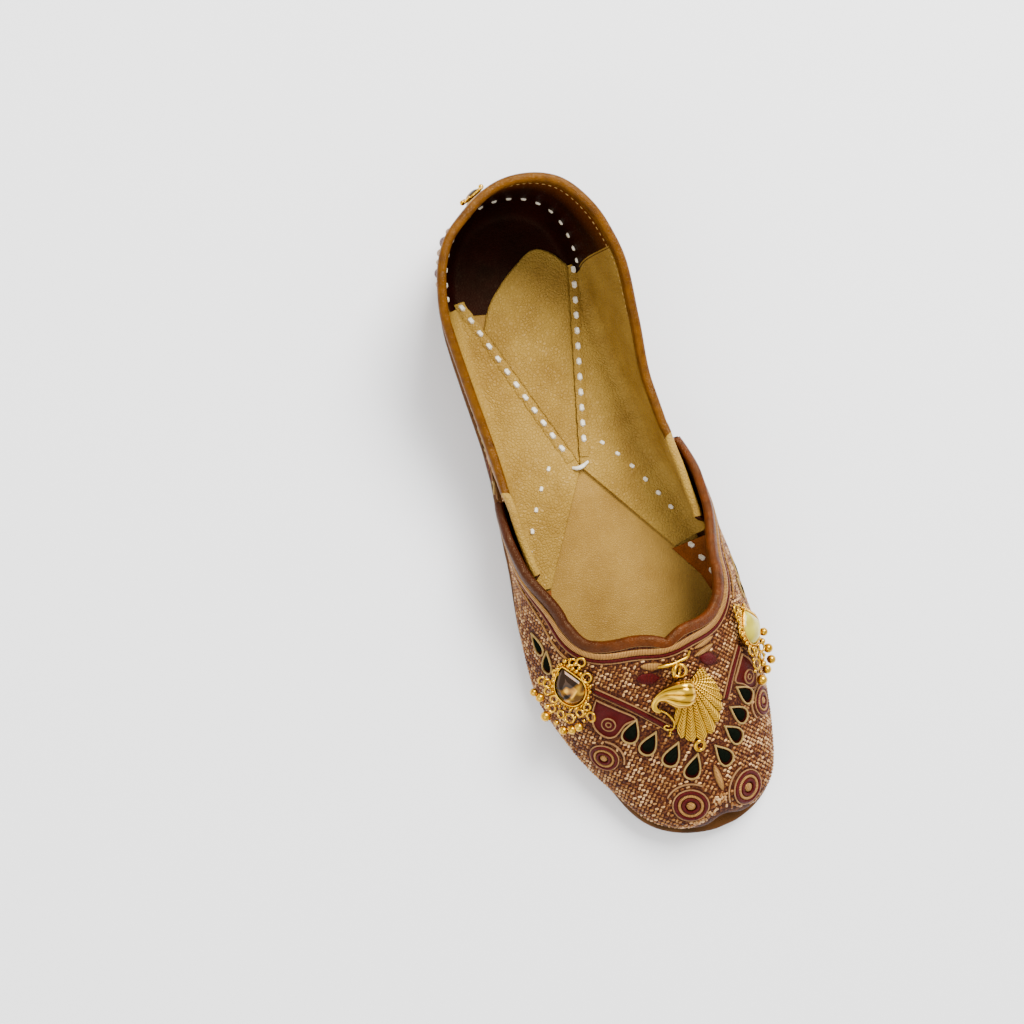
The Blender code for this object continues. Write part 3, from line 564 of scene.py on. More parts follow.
class Track(Path):
    """A line on the shoe's surface, kept as turns and levels."""

    def __init__(self, turn, level, surface=last_point, closed=False):
        self.turn, self.level = np.asarray(turn, float), np.asarray(level, float)
        outward = last_normal(self.turn, self.level)
        super().__init__(surface(self.turn, self.level), outward, closed)

    def moved(self, aside):
        """The line moved sideways over the surface, draped on it again."""
        along = np.zeros(self.turn.shape)
        start = (self.turn, self.level, self.points, self.aside, self.onward)
        return Track(*solve(*start, along + aside, along), closed=self.closed)

    def part(self, start, end, count):
        """Evenly spaced points between two lengths along the line."""
        wanted = np.linspace(start, end, count)
        turn, level = (np.interp(wanted, self.lengths, line) for line in (self.turn, self.level))
        return Track(turn, level)


def cap_ends(piece, shape):
    """Closes the first and the last ring of a tube."""
    for ring in (shape[0], shape[-1]):
        piece.grid(np.stack([ring, np.broadcast_to(ring.mean(0), ring.shape)]), around=True)


def sweep(piece, track, profile, swell=None):
    """Sweeps a closed section along a track: pairs of sideways and outward distances."""
    profile = np.asarray(profile, float)
    scale = np.ones(len(track.points)) if swell is None else swell
    offset = (
        track.aside[:, None] * profile[None, :, 0, None]
        + track.outward[:, None] * profile[None, :, 1, None]
    )
    shape = track.points[:, None] + offset * scale[:, None, None]
    flow = np.zeros(shape.shape)
    flow[..., 0] = track.lengths[:, None]
    flow[..., 1] = np.linspace(0.0, 1.0, len(profile))
    piece.grid(shape, flow, around=True, ends=track.closed)
    if not track.closed:
        cap_ends(piece, shape)


def round_profile(width, height, sink, count=10):
    """A round section of this width, standing this high over the surface and sunk in it."""
    turns = circle(count)
    half = (height + sink) / 2.0
    return np.stack([width / 2.0 * np.cos(turns), half * np.sin(turns) + half - sink], -1)


PLATE_COLUMNS = 240


def plate(piece, ends, grow, base, profile, dips=True):
    """A plate round the sole line, its rows led in to the middle below and above."""
    turns = 2.0 * np.arange(PLATE_COLUMNS) / PLATE_COLUMNS
    far = turns > 1.0
    turns = ends[0] + (ends[1] - ends[0]) * np.where(far, 2.0 - turns, turns)
    side = np.where(far, 2.0 - turns, turns)
    reach = grow(side) - profile[0][0] * MM
    middle = (outline_at(side, reach, dips) + outline_at(2.0 - side, reach, dips)) / 2.0
    rows = []
    for inset, share, height in profile:
        row = outline_at(side, grow(side) - inset * MM, dips)
        row = row * (1.0 - share) + middle * share
        row[:, 2] = base(0.5 - row[:, 1] / SHOE_LENGTH) + height * MM
        rows.append(row)
    piece.grid(np.stack(rows), around=True)


# Rows round the sole plates in millimetres: inset, share of the way to the middle, height
OUTSOLE_PROFILE = (
    (2.8, 1.0, 0.0), (2.8, 0.5, 0.0), (2.8, 0.0, 0.0), (1.6, 0.0, 0.0), (0.7, 0.0, 0.2),
    (0.1, 0.0, 0.8), (0.0, 0.0, 1.4), (0.0, 0.0, 1.9), (0.3, 0.0, 2.1), (0.0, 0.0, 2.3),
    (0.0, 0.0, 3.4), (0.3, 0.0, 4.1), (1.0, 0.0, 4.5), (2.8, 0.0, 4.5), (2.8, 0.3, 4.5),
    (2.8, 0.6, 4.5), (2.8, 1.0, 4.5),
)
INSOLE_PROFILE = (
    (2.6, 1.0, 0.0), (2.6, 0.4, 0.0), (0.4, 0.0, 0.0), (0.0, 0.0, 0.5), (0.1, 0.0, 1.5),
    (0.9, 0.0, 1.94), (2.6, 0.0, 2.0), (2.6, 0.25, 2.0), (2.6, 0.5, 2.0), (2.6, 0.75, 2.0),
    (2.6, 1.0, 2.0),
)


def build_outsole():
    """The outsole: two layers of leather with a fine groove between them."""
    piece = Piece()
    plate(piece, OUTSOLE_TURNS, sole_grow, sole_rise, OUTSOLE_PROFILE, dips=False)
    piece.place("outsole_leather", leather("sole leather"), "sole_leather", ("outsole",))


def insole_grow(turn):
    """How far the insole's edge stands in from the upper's sole line."""
    station = station_of(turn)
    covered = smooth_step(EAR_STEP_START, EAR_STEP_END, station)
    covered *= 1.0 - smooth_step(QUARTER_FRONT_BOTTOM, QUARTER_FRONT_BOTTOM + 0.06, station)
    toe_ease = 0.0018 * smooth_step(0.88, 0.97, station)
    return -(VAMP_WALL + GAP + 0.0007 + toe_ease + covered * (VAMP_WALL + GAP))


def build_insole():
    """The insole, a soft leather plate on the outsole inside the walls."""
    piece = Piece()
    plate(piece, INSOLE_TURNS, insole_grow, seat_height, INSOLE_PROFILE)
    piece.place("insole_leather", leather("smooth tan leather"), "insole_leather", ("insole",))


# Rows and columns of the walls' meshes
WALL_COLUMNS, WALL_ROWS = 260, 60
VAMP_ROWS, LINING_ROWS, TOE_COLUMNS, THROAT_COLUMNS = 90, 60, 89, 80


def quarter_grid(deeper):
    """Points of the quarters' wall from the left front round the heel to the right front."""
    top_end, bottom_end = turn_of(QUARTER_FRONT_TOP), turn_of(QUARTER_FRONT_BOTTOM)
    top = np.linspace(top_end, -top_end, WALL_COLUMNS)[:, None]
    shares = np.linspace(0.0, 1.0, WALL_ROWS)
    turn = top * (bottom_end / top_end) * (1.0 - shares) + top * shares
    points = quarter_point(turn, quarter_top(top) * shares, deeper)
    if deeper > 0.0:
        points[:, 0, 2] = last_point(turn[:, 0], 0.0)[:, 2]
    return points


def build_quarters():
    """The quarters' cloth: one U-shaped wall from ear to ear round the heel."""
    piece = Piece()
    piece.shell(quarter_grid(0.0), quarter_grid(QUARTER_WALL))
    piece.place("quarters_cloth", ground_cloth(), "embroidery", ("upper_quarters",))


def vamp_half(side, rows, deeper):
    """Points of one half of the vamp's wall, from the sole line to its top."""
    turn, level = throat_edge(THROAT_COLUMNS)
    middle = len(turn) // 2
    rear = turn_of(VAMP_REAR_BOTTOM)
    if side == "left":
        turn, level = turn[:middle + 1], level[:middle + 1]
    else:
        turn, level = turn[middle:][::-1], level[middle:][::-1]
        level = np.minimum(level, 2.0 * CROWN_LEVEL - level)
        turn = np.where(turn < 1.0, 2.0 - turn, turn)
        rear = 2.0 - rear
    ahead = np.linspace(turn[-1], 1.0, TOE_COLUMNS + 1)[1:]
    turn, level = np.append(turn, ahead), np.append(level, np.full(TOE_COLUMNS, CROWN_LEVEL))
    lengths = run_lengths(last_point(turn, level))
    straight = (turn - turn[0]) / (1.0 - turn[0])
    bottom = rear + (1.0 - rear) * (0.45 * lengths / lengths[-1] + 0.55 * straight)
    shares = np.linspace(0.0, 1.0, rows)
    grid_turn = bottom[:, None] + (turn - bottom)[:, None] * shares
    points = vamp_point(grid_turn, level[:, None] * shares, deeper)
    if deeper > 0.0:
        points[:, 0, 2] = last_point(bottom, 0.0)[:, 2]
    return points


def build_vamp():
    """The vamp's cloth: toe box, throat and both ears, with its leather lining inside."""
    cloth, lining = Piece(), Piece()
    for piece, rows, faces in ((cloth, VAMP_ROWS, (0.0, 0.55)), (lining, LINING_ROWS, (0.6, 1.0))):
        for side, _ in SIDE_SIGNS:
            outer, inner = (vamp_half(side, rows, VAMP_WALL * share) for share in faces)
            piece.shell(outer, inner, rims="lb")
            edge = len(outer) - TOE_COLUMNS
            piece.grid(np.stack([outer[:edge, -1], inner[:edge, -1]]))
    cloth.place("vamp_cloth", ground_cloth(), "embroidery", ("upper_vamp",))
    lining.place("vamp_lining", leather("orange lining leather"), "lining_leather")


# Station where the collar's edge passes from the binding to the plain fold
FOLD_START = 0.418
# Sections of the bindings: sideways and outward, in millimetres
COLLAR_PROFILE = (
    (-1.62, -2.4), (-1.72, -1.2), (-1.66, 0.1), (-1.30, 0.75), (-0.65, 1.05), (0.0, 1.12),
    (0.65, 1.05), (1.30, 0.75), (1.66, 0.1), (1.72, -1.2), (1.62, -2.4), (0.0, -2.2),
)
THROAT_PROFILE = (
    (-1.55, -2.2), (-1.66, -1.2), (-1.62, 0.0), (-1.25, 0.62), (-0.6, 0.92), (0.1, 0.98),
    (0.8, 0.85), (1.35, 0.45), (1.68, -0.1), (1.78, -1.2), (1.66, -2.5), (0.0, -2.3),
)
FOLD_THICKNESS = 0.93
COLLAR_COLUMNS, BINDING_COLUMNS = 700, 400
# Overlap of the fold and the binding, in turn
FOLD_OVERLAP = 0.003


def edge_track(turn, level, surface, wall):
    """Track along a wall's top edge, in the middle of the wall, outward and upward."""
    track = Track(turn, level, surface=surface)
    outward = last_normal(turn, level - 0.02)
    upward = unit(np.cross(track.onward, outward))
    upward *= np.sign(upward[..., 2].mean())
    track.points = track.points - outward * wall / 2.0
    track.aside, track.outward = outward, upward
    return track


def build_collar_binding():
    """The leather binding round the quarters' collar."""
    end = turn_of(QUARTER_FRONT_TOP)
    turn = np.linspace(end, -end, COLLAR_COLUMNS)[1:-1]
    track = edge_track(turn, quarter_top(turn), quarter_point, QUARTER_WALL)
    passes = turn_of(FOLD_START)
    profile = np.array(COLLAR_PROFILE) * MM
    piece, fold = Piece(), Piece()
    sweep(piece, track.between(np.abs(turn) < passes), profile)
    for front in (turn > passes - FOLD_OVERLAP, turn < FOLD_OVERLAP - passes):
        sweep(fold, track.between(front), profile * FOLD_THICKNESS)
    material = leather("binding leather")
    piece.place("collar_binding", material, "binding_leather", ("quarter_binding",))
    fold.place("collar_fold", leather("pebbled tan leather"), "lining_leather")


EVEN_REACH = 9


def evened(directions):
    """Directions along a line, each averaged with its neighbours."""
    first, last = [directions[:1]] * EVEN_REACH, [directions[-1:]] * EVEN_REACH
    padded = np.vstack(first + [directions] + last)
    weights = np.hanning(2 * EVEN_REACH + 3)[1:-1]
    weights /= weights.sum()
    return unit(np.stack([np.convolve(column, weights, "valid") for column in padded.T], -1))


def throat_track():
    """Track along the throat's edge."""
    turn, level = throat_edge(BINDING_COLUMNS)
    return Track(turn[2:-2], level[2:-2])


def opening_directions(track):
    """Evened directions outward from the throat's leather, and away from its opening."""
    opening = track.aside * np.sign(track.aside[len(track.aside) // 2][1])
    return evened(track.outward), evened(opening)


def build_throat_leather():
    """The leather binding round the throat and along both ears."""
    track = throat_track()
    track.outward, opening = opening_directions(track)
    track.points = track.points - track.outward * VAMP_WALL / 2.0
    track.aside, track.outward = track.outward, opening
    piece = Piece()
    sweep(piece, track, np.array(THROAT_PROFILE) * MM)
    # The throat leather darkens toward its left side: painted shade
    material = leather("throat leather")
    piece.place("throat_binding_leather", material, "binding_leather", ("throat_binding",))


def linear(code):
    """Linear colour of a hexadecimal sRGB code."""
    values = [int(code[k:k + 2], 16) / 255.0 for k in (0, 2, 4)]
    return tuple(v / 12.92 if v <= 0.04045 else ((v + 0.055) / 1.055) ** 2.4 for v in values)


class Finish:
    """A material under construction, with its shader and small ways to add nodes."""

    def __init__(self, name, roughness=0.6, metallic=0.0, coat=0.0, specular=0.18):
        self.material = bpy.data.materials.new(name)
        self.material.use_nodes = True
        self.tree = self.material.node_tree
        self.shader = self.tree.nodes["Principled BSDF"]
        self.shader.inputs["Roughness"].default_value = roughness
        self.shader.inputs["Metallic"].default_value = metallic
        self.shader.inputs["Specular IOR Level"].default_value = specular
        self.shader.inputs["Coat Weight"].default_value = coat
        self.shader.inputs["Coat Roughness"].default_value = 0.3

    def feed(self, socket, value):
        """Leads a node's output, a colour's code or a plain value into a socket."""
        if isinstance(value, bpy.types.NodeSocket):
            self.tree.links.new(value, socket)
        else:
            socket.default_value = (*linear(value), 1.0) if isinstance(value, str) else value

    def add(self, kind, inputs=None, **settings):
        """A node of this kind; inputs are values or the outputs of other nodes."""
        node = self.tree.nodes.new(kind)
        for key, value in settings.items():
            setattr(node, key, value)
        for key, value in (inputs or {}).items():
            self.feed(node.inputs[key], value)
        return node

    def place(self):
        """Object coordinates, in metres."""
        return self.add("ShaderNodeTexCoord").outputs["Object"]

    def flow(self):
        """The flow value's three parts: along, across and seed."""
        node = self.add("ShaderNodeAttribute", attribute_name="flow")
        parts = self.add("ShaderNodeSeparateXYZ", {"Vector": node.outputs["Vector"]})
        return parts.outputs

    def noise(self, scale, detail):
        """Noise between about 0.3 and 0.7."""
        inputs = {"Scale": scale, "Detail": detail, "Vector": self.place()}
        return self.add("ShaderNodeTexNoise", inputs).outputs["Fac"]

    def pebbles(self, scale, vector):
        """Distance to the edges of small leather pebbles."""
        inputs = {"Scale": scale, "Vector": vector}
        node = self.add("ShaderNodeTexVoronoi", inputs, feature="DISTANCE_TO_EDGE")
        return node.outputs["Distance"]

    def math(self, operation, first, second=0.0, third=0.0):
        """One math step."""
        inputs = {0: first, 1: second, 2: third}
        return self.add("ShaderNodeMath", inputs, operation=operation).outputs[0]

    def ramp(self, value, stops):
        """Colours or greys by value: pairs of place and hexadecimal colour."""
        node = self.add("ShaderNodeValToRGB", {"Fac": value})
        ramp = node.color_ramp
        while len(ramp.elements) < len(stops):
            ramp.elements.new(1.0)
        for element, (place, code) in zip(ramp.elements, stops):
            element.position = place
            element.color = (*linear(code), 1.0)
        return node.outputs["Color"]

    def mix(self, share, first, second, blend="MIX"):
        """Mix of two colours."""
        inputs = {0: share, 6: first, 7: second}
        return self.add("ShaderNodeMix", inputs, data_type="RGBA", blend_type=blend).outputs[2]

    def colour(self, value):
        """Sets the base colour from an output or a hexadecimal code."""
        self.feed(self.shader.inputs["Base Color"], value)

    def rough(self, value, low, high):
        """Leads the roughness from low to high by a value."""
        node = self.add("ShaderNodeMapRange", {"Value": value, "To Min": low, "To Max": high})
        self.tree.links.new(node.outputs[0], self.shader.inputs["Roughness"])

    def bump(self, height, distance, strength, **before):
        """Adds relief from a height of 0 to 1, this deep in metres."""
        inputs = {"Height": height, "Distance": distance, "Strength": strength, **before}
        out = self.add("ShaderNodeBump", inputs).outputs["Normal"]
        self.tree.links.new(out, self.shader.inputs["Normal"])
        return out


def once(build):
    """Makes a material the first time that it is asked for and keeps it."""
    return functools.cache(lambda *name: build(*name).material)


# Leathers: light and dark colour, pebbles and blotches a metre, relief, roughness and gloss
LEATHERS = {
    "sole leather": ("5c3411", "2e1606", 900.0, 90.0, 0.00012, (0.38, 0.6), 0.26),
    "smooth tan leather": ("a07c36", "876427", 1300.0, 60.0, 0.00016, (0.36, 0.52), 0.26),
    "pebbled tan leather": ("a68438", "886627", 800.0, 70.0, 0.00034, (0.32, 0.5), 0.26),
    "orange lining leather": ("8a4608", "5a2804", 1100.0, 90.0, 0.00014, (0.42, 0.62), 0.26),
    # Dark lining: its own dark maroon deepened with painted shade
    "dark lining leather": ("260504", "100202", 1100.0, 90.0, 0.00012, (0.42, 0.62), 0.1),
    "binding leather": ("683c00", "442000", 1300.0, 240.0, 0.00012, (0.26, 0.42), 0.26),
    "throat leather": ("5c2702", "361100", 1300.0, 240.0, 0.00012, (0.26, 0.42), 0.26),
}
# Leathers whose colour changes across the shoe as painted light and shade: axis, where the change
# starts and ends, and its colour
SHADINGS = {
    # Dark lining: darkest deep in the heel, lighter toward the collar: painted shade
    "dark lining leather": ("Z", 0.036, 0.056, "5c2c08"),
    # Throat leather: darker toward the left side, where it lies in shade: painted shade
    "throat leather": ("X", -0.010, -0.032, "320c01"),
}
WARM_GLOSS = (1.0, 0.74, 0.4, 1.0)


@once
def leather(name):
    """Tanned leather: pebbled grain, soft blotches and worn gloss, with painted shade across the shoe
    on some leathers.
    """
    light, dark, pebble, spots, depth, roughness, gloss = LEATHERS[name]
    made = Finish(name, specular=gloss)
    made.shader.inputs["Specular Tint"].default_value = WARM_GLOSS
    base = made.ramp(made.noise(spots, 4.0), ((0.22, dark), (0.62, light)))
    drift = made.add("ShaderNodeTexNoise", {"Scale": 260.0, "Vector": made.place()})
    inputs = {0: drift.outputs["Color"], 3: 0.0012}
    shifted = made.add("ShaderNodeVectorMath", inputs, operation="SCALE").outputs[0]
    warped = made.add("ShaderNodeVectorMath", {0: made.place(), 1: shifted}, operation="ADD")
    grain = made.pebbles(pebble, warped.outputs[0])
    crease = made.add("ShaderNodeMapRange", {"Value": grain, "From Max": 0.22}).outputs[0]
    shaded = made.mix(0.34, base, made.ramp(crease, ((0.0, dark), (0.7, light))), "MULTIPLY")
    colour = made.mix(0.55, base, shaded)
    # Painted light and shade: blend toward the last colour across the shoe
    if name in SHADINGS:
        axis, start, end, last = SHADINGS[name]
        value = made.add("ShaderNodeSeparateXYZ", {"Vector": made.place()}).outputs[axis]
        moved = SHIFT["XYZ".index(axis)]
        inputs = {"Value": value, "From Min": start + moved, "From Max": end + moved}
        colour = made.mix(made.add("ShaderNodeMapRange", inputs).outputs[0], colour, last)
    made.colour(colour)
    made.rough(made.noise(700.0, 2.0), *roughness)
    first = made.bump(crease, depth, 0.6)
    made.bump(made.noise(1600.0, 2.0), depth * 0.5, 0.35, Normal=first)
    return made


@once
def ground_cloth():
    """The dark cloth and thread ground that shows between the stitches."""
    made = Finish("embroidery ground", specular=0.08)
    fine = made.noise(1400.0, 3.0)
    made.colour(made.ramp(fine, ((0.36, "220805"), (0.52, "3c180b"), (0.66, "603818"))))
    made.bump(fine, 0.0003, 0.8)
    return made


@once
def pale_floor():
    """The plain pale floor."""
    made = Finish("pale floor", roughness=0.9)
    made.colour("fcfcfc")
    return made


def add_camera():
    """The camera at the photograph's place."""
    data = bpy.data.cameras.new("camera")
    data.lens, data.sensor_width = CAMERA_LENS, 36.0
    data.clip_start, data.clip_end = 0.01, 20.0
    item = bpy.data.objects.new("camera", data)
    turned = Matrix((CAMERA_RIGHT, CAMERA_UP, CAMERA_BACK)).transposed()
    item.rotation_mode = "QUATERNION"
    item.rotation_quaternion = turned.to_quaternion()
    item.location = Vector(CAMERA_PLACE) + Vector(SHIFT)
    bpy.context.scene.collection.objects.link(item)
    bpy.context.scene.camera = item


def add_floor():
    """A wide plain floor under the sole."""
    shape = bmesh.new()
    bmesh.ops.create_circle(shape, cap_ends=True, segments=96, radius=6.0)
    mesh = bpy.data.meshes.new("floor")
    shape.to_mesh(mesh)
    shape.free()
    mesh.materials.append(pale_floor())
    item = bpy.data.objects.new("floor", mesh)
    bpy.context.scene.collection.objects.link(item)


def add_area_light(name, place, size, power):
    """A soft square light that looks at the shoe."""
    data = bpy.data.lights.new(name, "AREA")
    data.shape = "SQUARE"
    data.size, data.energy = size, power
    item = bpy.data.objects.new(name, data)
    item.location = place
    item.rotation_mode = "QUATERNION"
    item.rotation_quaternion = (-Vector(place)).to_track_quat("-Z", "Y")
    bpy.context.scene.collection.objects.link(item)


def add_light():
    """Soft studio light: a broad key from the upper right, a fill and a pale room."""
    add_area_light("key", (0.55, 0.60, 1.10), 0.7, 42.0)
    add_area_light("fill", (-0.9, -0.5, 1.0), 1.2, 11.0)
    world = bpy.context.scene.world or bpy.data.worlds.new("room")
    bpy.context.scene.world = world
    world.use_nodes = True
    room = world.node_tree.nodes["Background"]
    room.inputs["Color"].default_value = (1.0, 1.0, 1.0, 1.0)
    room.inputs["Strength"].default_value = 1.15


# Places that the field's stitches keep clear of: points and a distance
KEEP_CLEAR = []


def keep_clear(points, radius):
    """Notes that no field stitch may lie this near to these points."""
    KEEP_CLEAR.append((np.asarray(points).reshape(-1, 3), radius))


class Seat:
    """A place on the shoe's surface with its own directions, for an ornament to lie on."""

    def __init__(self, turn, level, toward=None):
        self.turn, self.level = float(turn), float(level)
        self.origin = last_point(self.turn, self.level)
        self.outward = last_normal(self.turn, self.level)
        if toward is not None:
            along = last_point(*toward) - self.origin
        elif self.level > 2.2:
            along = np.array((0.0, -1.0, 0.0))
        else:
            along = last_point(self.turn, self.level - 0.05) - self.origin
        self.along = unit(along - self.outward * np.dot(along, self.outward))
        self.across = np.cross(self.outward, self.along)

    def trace(self, aside, down):
        """Turns and levels of points at these distances on the surface, in metres."""
        aside, down = np.broadcast_arrays(np.asarray(aside, float), np.asarray(down, float))
        turn, level = np.full(aside.shape, self.turn), np.full(aside.shape, self.level)
        return solve(turn, level, self.origin, self.across, self.along, aside, down)

    def lift(self, aside, down, height):
        """Points at these distances and heights over the surface."""
        turn, level = self.trace(aside, down)
        height = np.broadcast_to(np.asarray(height, float), turn.shape)
        return last_point(turn, level) + last_normal(turn, level) * height[..., None]


def keep_row_clear(seat, first, last, count, radius):
    """Keeps a row of places along a seat clear, all in millimetres."""
    keep_clear(seat.lift(0.0, np.linspace(first, last, count) * MM, 0.0), radius * MM)


def teardrop(width, length, count):
    """A drop outline in millimetres with its point along the seat's direction."""
    turns = circle(count)
    aside = 0.56 * width * np.sin(turns) * np.sin(turns / 2.0) ** 1.5
    return np.stack([aside, length / 2.0 * np.cos(turns)], -1) * MM


def leaf(width, length):
    """A leaf outline in millimetres, pointed at both ends."""
    turns = circle(36)
    aside = width / 2.0 * np.sign(np.sin(turns)) * np.abs(np.sin(turns)) ** 1.4
    return np.stack([aside, length / 2.0 * np.cos(turns)], -1) * MM


def round_outline(radius, count):
    """A round outline in millimetres."""
    turns = circle(count)
    return np.stack([np.sin(turns), np.cos(turns)], -1) * radius * MM


def pad(piece, seat, outline, height, base=0.0, seed=0.0, flat=0.0, rows=7):
    """A raised pad over an outline, domed or flat-topped, with its flow across its length."""
    quarter = np.linspace(0.0, math.pi / 2.0, rows)
    scales = np.append(1.0, np.cos(quarter) ** (1.0 - 0.5 * flat))[:, None]
    heights = np.append(-0.1 * MM, base + height * np.sin(quarter))[:, None]
    aside, down = outline[:, 0] * scales, outline[:, 1] * scales
    points = seat.lift(aside, down, np.broadcast_to(heights, aside.shape))
    flow = np.stack([down, aside, np.full(aside.shape, seed)], -1)
    piece.grid(points, flow, around=True)


CORD_SINK = 0.25 * MM


def cord_round(piece, seat, outline, width, height):
    """A couched cord laid along a closed outline."""
    track = Track(*seat.trace(outline[:, 0], outline[:, 1]), closed=True)
    sweep(piece, track, round_profile(width, height, CORD_SINK))


def cord_line(piece, track, width, height):
    """A couched cord laid along an open line, tapered at its ends; sizes in millimetres."""
    width, height = width * MM, height * MM
    ends = np.minimum(track.lengths, track.lengths[-1] - track.lengths)
    swell = 0.35 + 0.65 * np.clip(ends / (width * 0.9), 0.0, 1.0) ** 0.5
    sweep(piece, track, round_profile(width, height, CORD_SINK), swell)
    keep_clear(track.points, width / 2.0 + 0.45 * MM)


def line_between(places, count):
    """A smooth line on the vamp through places: pairs of station and side in millimetres."""
    return Track(*spot(*smooth_through(places, count).T))


def balls(piece, centres, radii, around=12, rows=8):
    """Small balls at the given centres."""
    tilt = np.linspace(0.0, math.pi, rows)[:, None]
    turns = circle(around)
    shape = np.stack([
        np.sin(tilt) * np.cos(turns), np.sin(tilt) * np.sin(turns), np.cos(tilt) + 0.0 * turns,
    ], -1)
    for centre, radius in zip(centres, np.broadcast_to(radii, len(centres))):
        piece.grid(centre + shape * radius, around=True)


def rings(piece, centres, facings, radii, thickness, around=20, sides=8):
    """Small wire rings at the given centres, each facing its own way."""
    turns, tube = circle(around)[:, None], circle(sides)
    for centre, facing, radius in zip(centres, facings, np.broadcast_to(radii, len(centres))):
        facing = unit(facing)
        first = unit(np.cross(facing, (0.31, 0.77, 0.56)))
        second = np.cross(facing, first)
        reach = radius + thickness / 2.0 * np.cos(tube)
        points = centre + (
            (reach * np.cos(turns))[..., None] * first
            + (reach * np.sin(turns))[..., None] * second
            + (thickness / 2.0 * np.sin(tube) + 0.0 * turns)[..., None] * facing
        )
        piece.grid(points, around=True, ends=True)


def wire(piece, points, radii):
    """A bent wire along smooth points, with its thickness at each."""
    both = smooth_through(np.column_stack([points, radii]), 60)
    path, girth = both[:, :3], both[:, 3]
    onward = unit(np.gradient(path, axis=0))
    first = np.cross(onward[0], (0.3, 0.1, 0.95))
    firsts = []
    for direction in onward:
        first = unit(first - direction * np.dot(first, direction))
        firsts.append(first)
    firsts = np.array(firsts)
    seconds = np.cross(onward, firsts)
    turns = circle(10)[:, None]
    around = np.cos(turns) * firsts[:, None] + np.sin(turns) * seconds[:, None]
    shape = path[:, None] + girth[:, None, None] * around
    piece.grid(shape, around=True)
    cap_ends(piece, shape)


SOFT_COLUMNS = 420


def soft_throat(spread):
    """The throat's edge with its notch and corners eased over this distance."""
    track = throat_track()
    even = track.part(0.0, track.lengths[-1], SOFT_COLUMNS)
    step = track.lengths[-1] / (SOFT_COLUMNS - 1)
    reach = int(3 * spread / step)
    weights = np.exp(-0.5 * (np.arange(-reach, reach + 1) * step / spread) ** 2)
    weights /= weights.sum()
    eased = []
    for values in (even.turn, even.level):
        before = 2.0 * values[0] - values[reach:0:-1]
        after = 2.0 * values[-1] - values[-2:-reach - 2:-1]
        eased.append(np.convolve(np.concatenate([before, values, after]), weights, "valid"))
    return Track(*eased)


def away(track, distance):
    """Sideways distance that leads away from the throat's opening."""
    middle = len(track.points) // 2
    return -distance * np.sign(track.aside[middle][1])


# Cords round the throat in millimetres: distance in front and at the rear, width, height
THROAT_CORDS = (
    ("pale", 0.8, 2.75, 2.55, 0.42, 0.45),
    ("champagne", 4.5, 4.75, 3.45, 2.3, 0.95),
    ("maroon", 4.5, 6.6, 4.9, 1.25, 0.75),
    ("pale", 4.5, 7.55, 5.75, 0.55, 0.5),
)
# Cords below the collar: drop in level, then width and height in millimetres
COLLAR_CORDS = (
    ("pale", 0.110, 0.45, 0.45), ("champagne", 0.175, 2.1, 0.9), ("maroon", 0.25, 1.2, 0.7),
    ("pale", 0.288, 0.5, 0.45),
)
COLLAR_CORD_END = 0.44
CORD_COLUMNS = 900
# The pale flank cord of the throat: distance at the rear and its growth, and its share of it
FLANK_CORD = (6.8, 3.6, 0.31)
THROAT_CLEAR = 5.6


def build_throat_borders(pieces):
    """The ribbed champagne cord round the throat, with its maroon and pale threads."""
    soft = {spread: soft_throat(spread * MM) for spread in (0.8, 4.5)}
    front = 1.0 - smooth_step(0.45, 1.0, np.abs(np.linspace(-1.0, 1.0, SOFT_COLUMNS)))
    for colour, spread, distance, rear, width, height in THROAT_CORDS:
        base = soft[spread]
        reach = (rear + (distance - rear) * front) * MM
        track = base.moved(away(base, 1.0) * reach)
        track = track.part(1.5 * MM, track.lengths[-1] - 1.5 * MM, CORD_COLUMNS)
        cord_line(pieces[colour], track, width, height)
    rear, growth, share = FLANK_CORD
    flank = soft[4.5].moved(away(soft[4.5], 1.0) * (rear + growth * front) * MM)
    total = flank.lengths[-1]
    for start, end in ((2.0 * MM, total * share), (total * (1.0 - share), total - 2.0 * MM)):
        cord_line(pieces["champagne"], flank.part(start, end, 260), 1.0, 0.6)
    keep_clear(soft[0.8].points, THROAT_CLEAR * MM)


def build_collar_borders(pieces):
    """The cords that run below the collar's binding on the outside."""
    end = turn_of(COLLAR_CORD_END)
    turn = np.linspace(end, -end, CORD_COLUMNS)
    for colour, drop, width, height in COLLAR_CORDS:
        track = Track(turn, quarter_top(turn) - drop, quarter_point)
        cord_line(pieces[colour], track, width, height)


# Ornaments of the vamp, in millimetres: station, side and size
TOE_RINGS = ((237.1, -8.0, 1.0), (238.7, 14.7, 1.0), (209.4, -31.8, 0.84), (211.2, 31.6, 0.84))
RING_BANDS = (
    ("pale", 6.55, 0.6, 0.5),
    ("maroon", 5.55, 1.45, 0.85),
    ("champagne", 4.2, 1.2, 0.8),
    ("maroon", 2.75, 1.5, 0.85),
)
RING_HEART, RING_GROUND, RING_CLEAR = 1.75, 6.4, 7.5
# Width and length of a drop's black cloth, its rim and the ground below them
DROP_CLOTH, DROP_RIM, DROP_GROUND = (5.3, 7.9), (7.3, 10.6), (7.1, 10.2)
FLANK_DROP_SIZE, QUARTER_DROP_SIZE = 0.86, 0.74
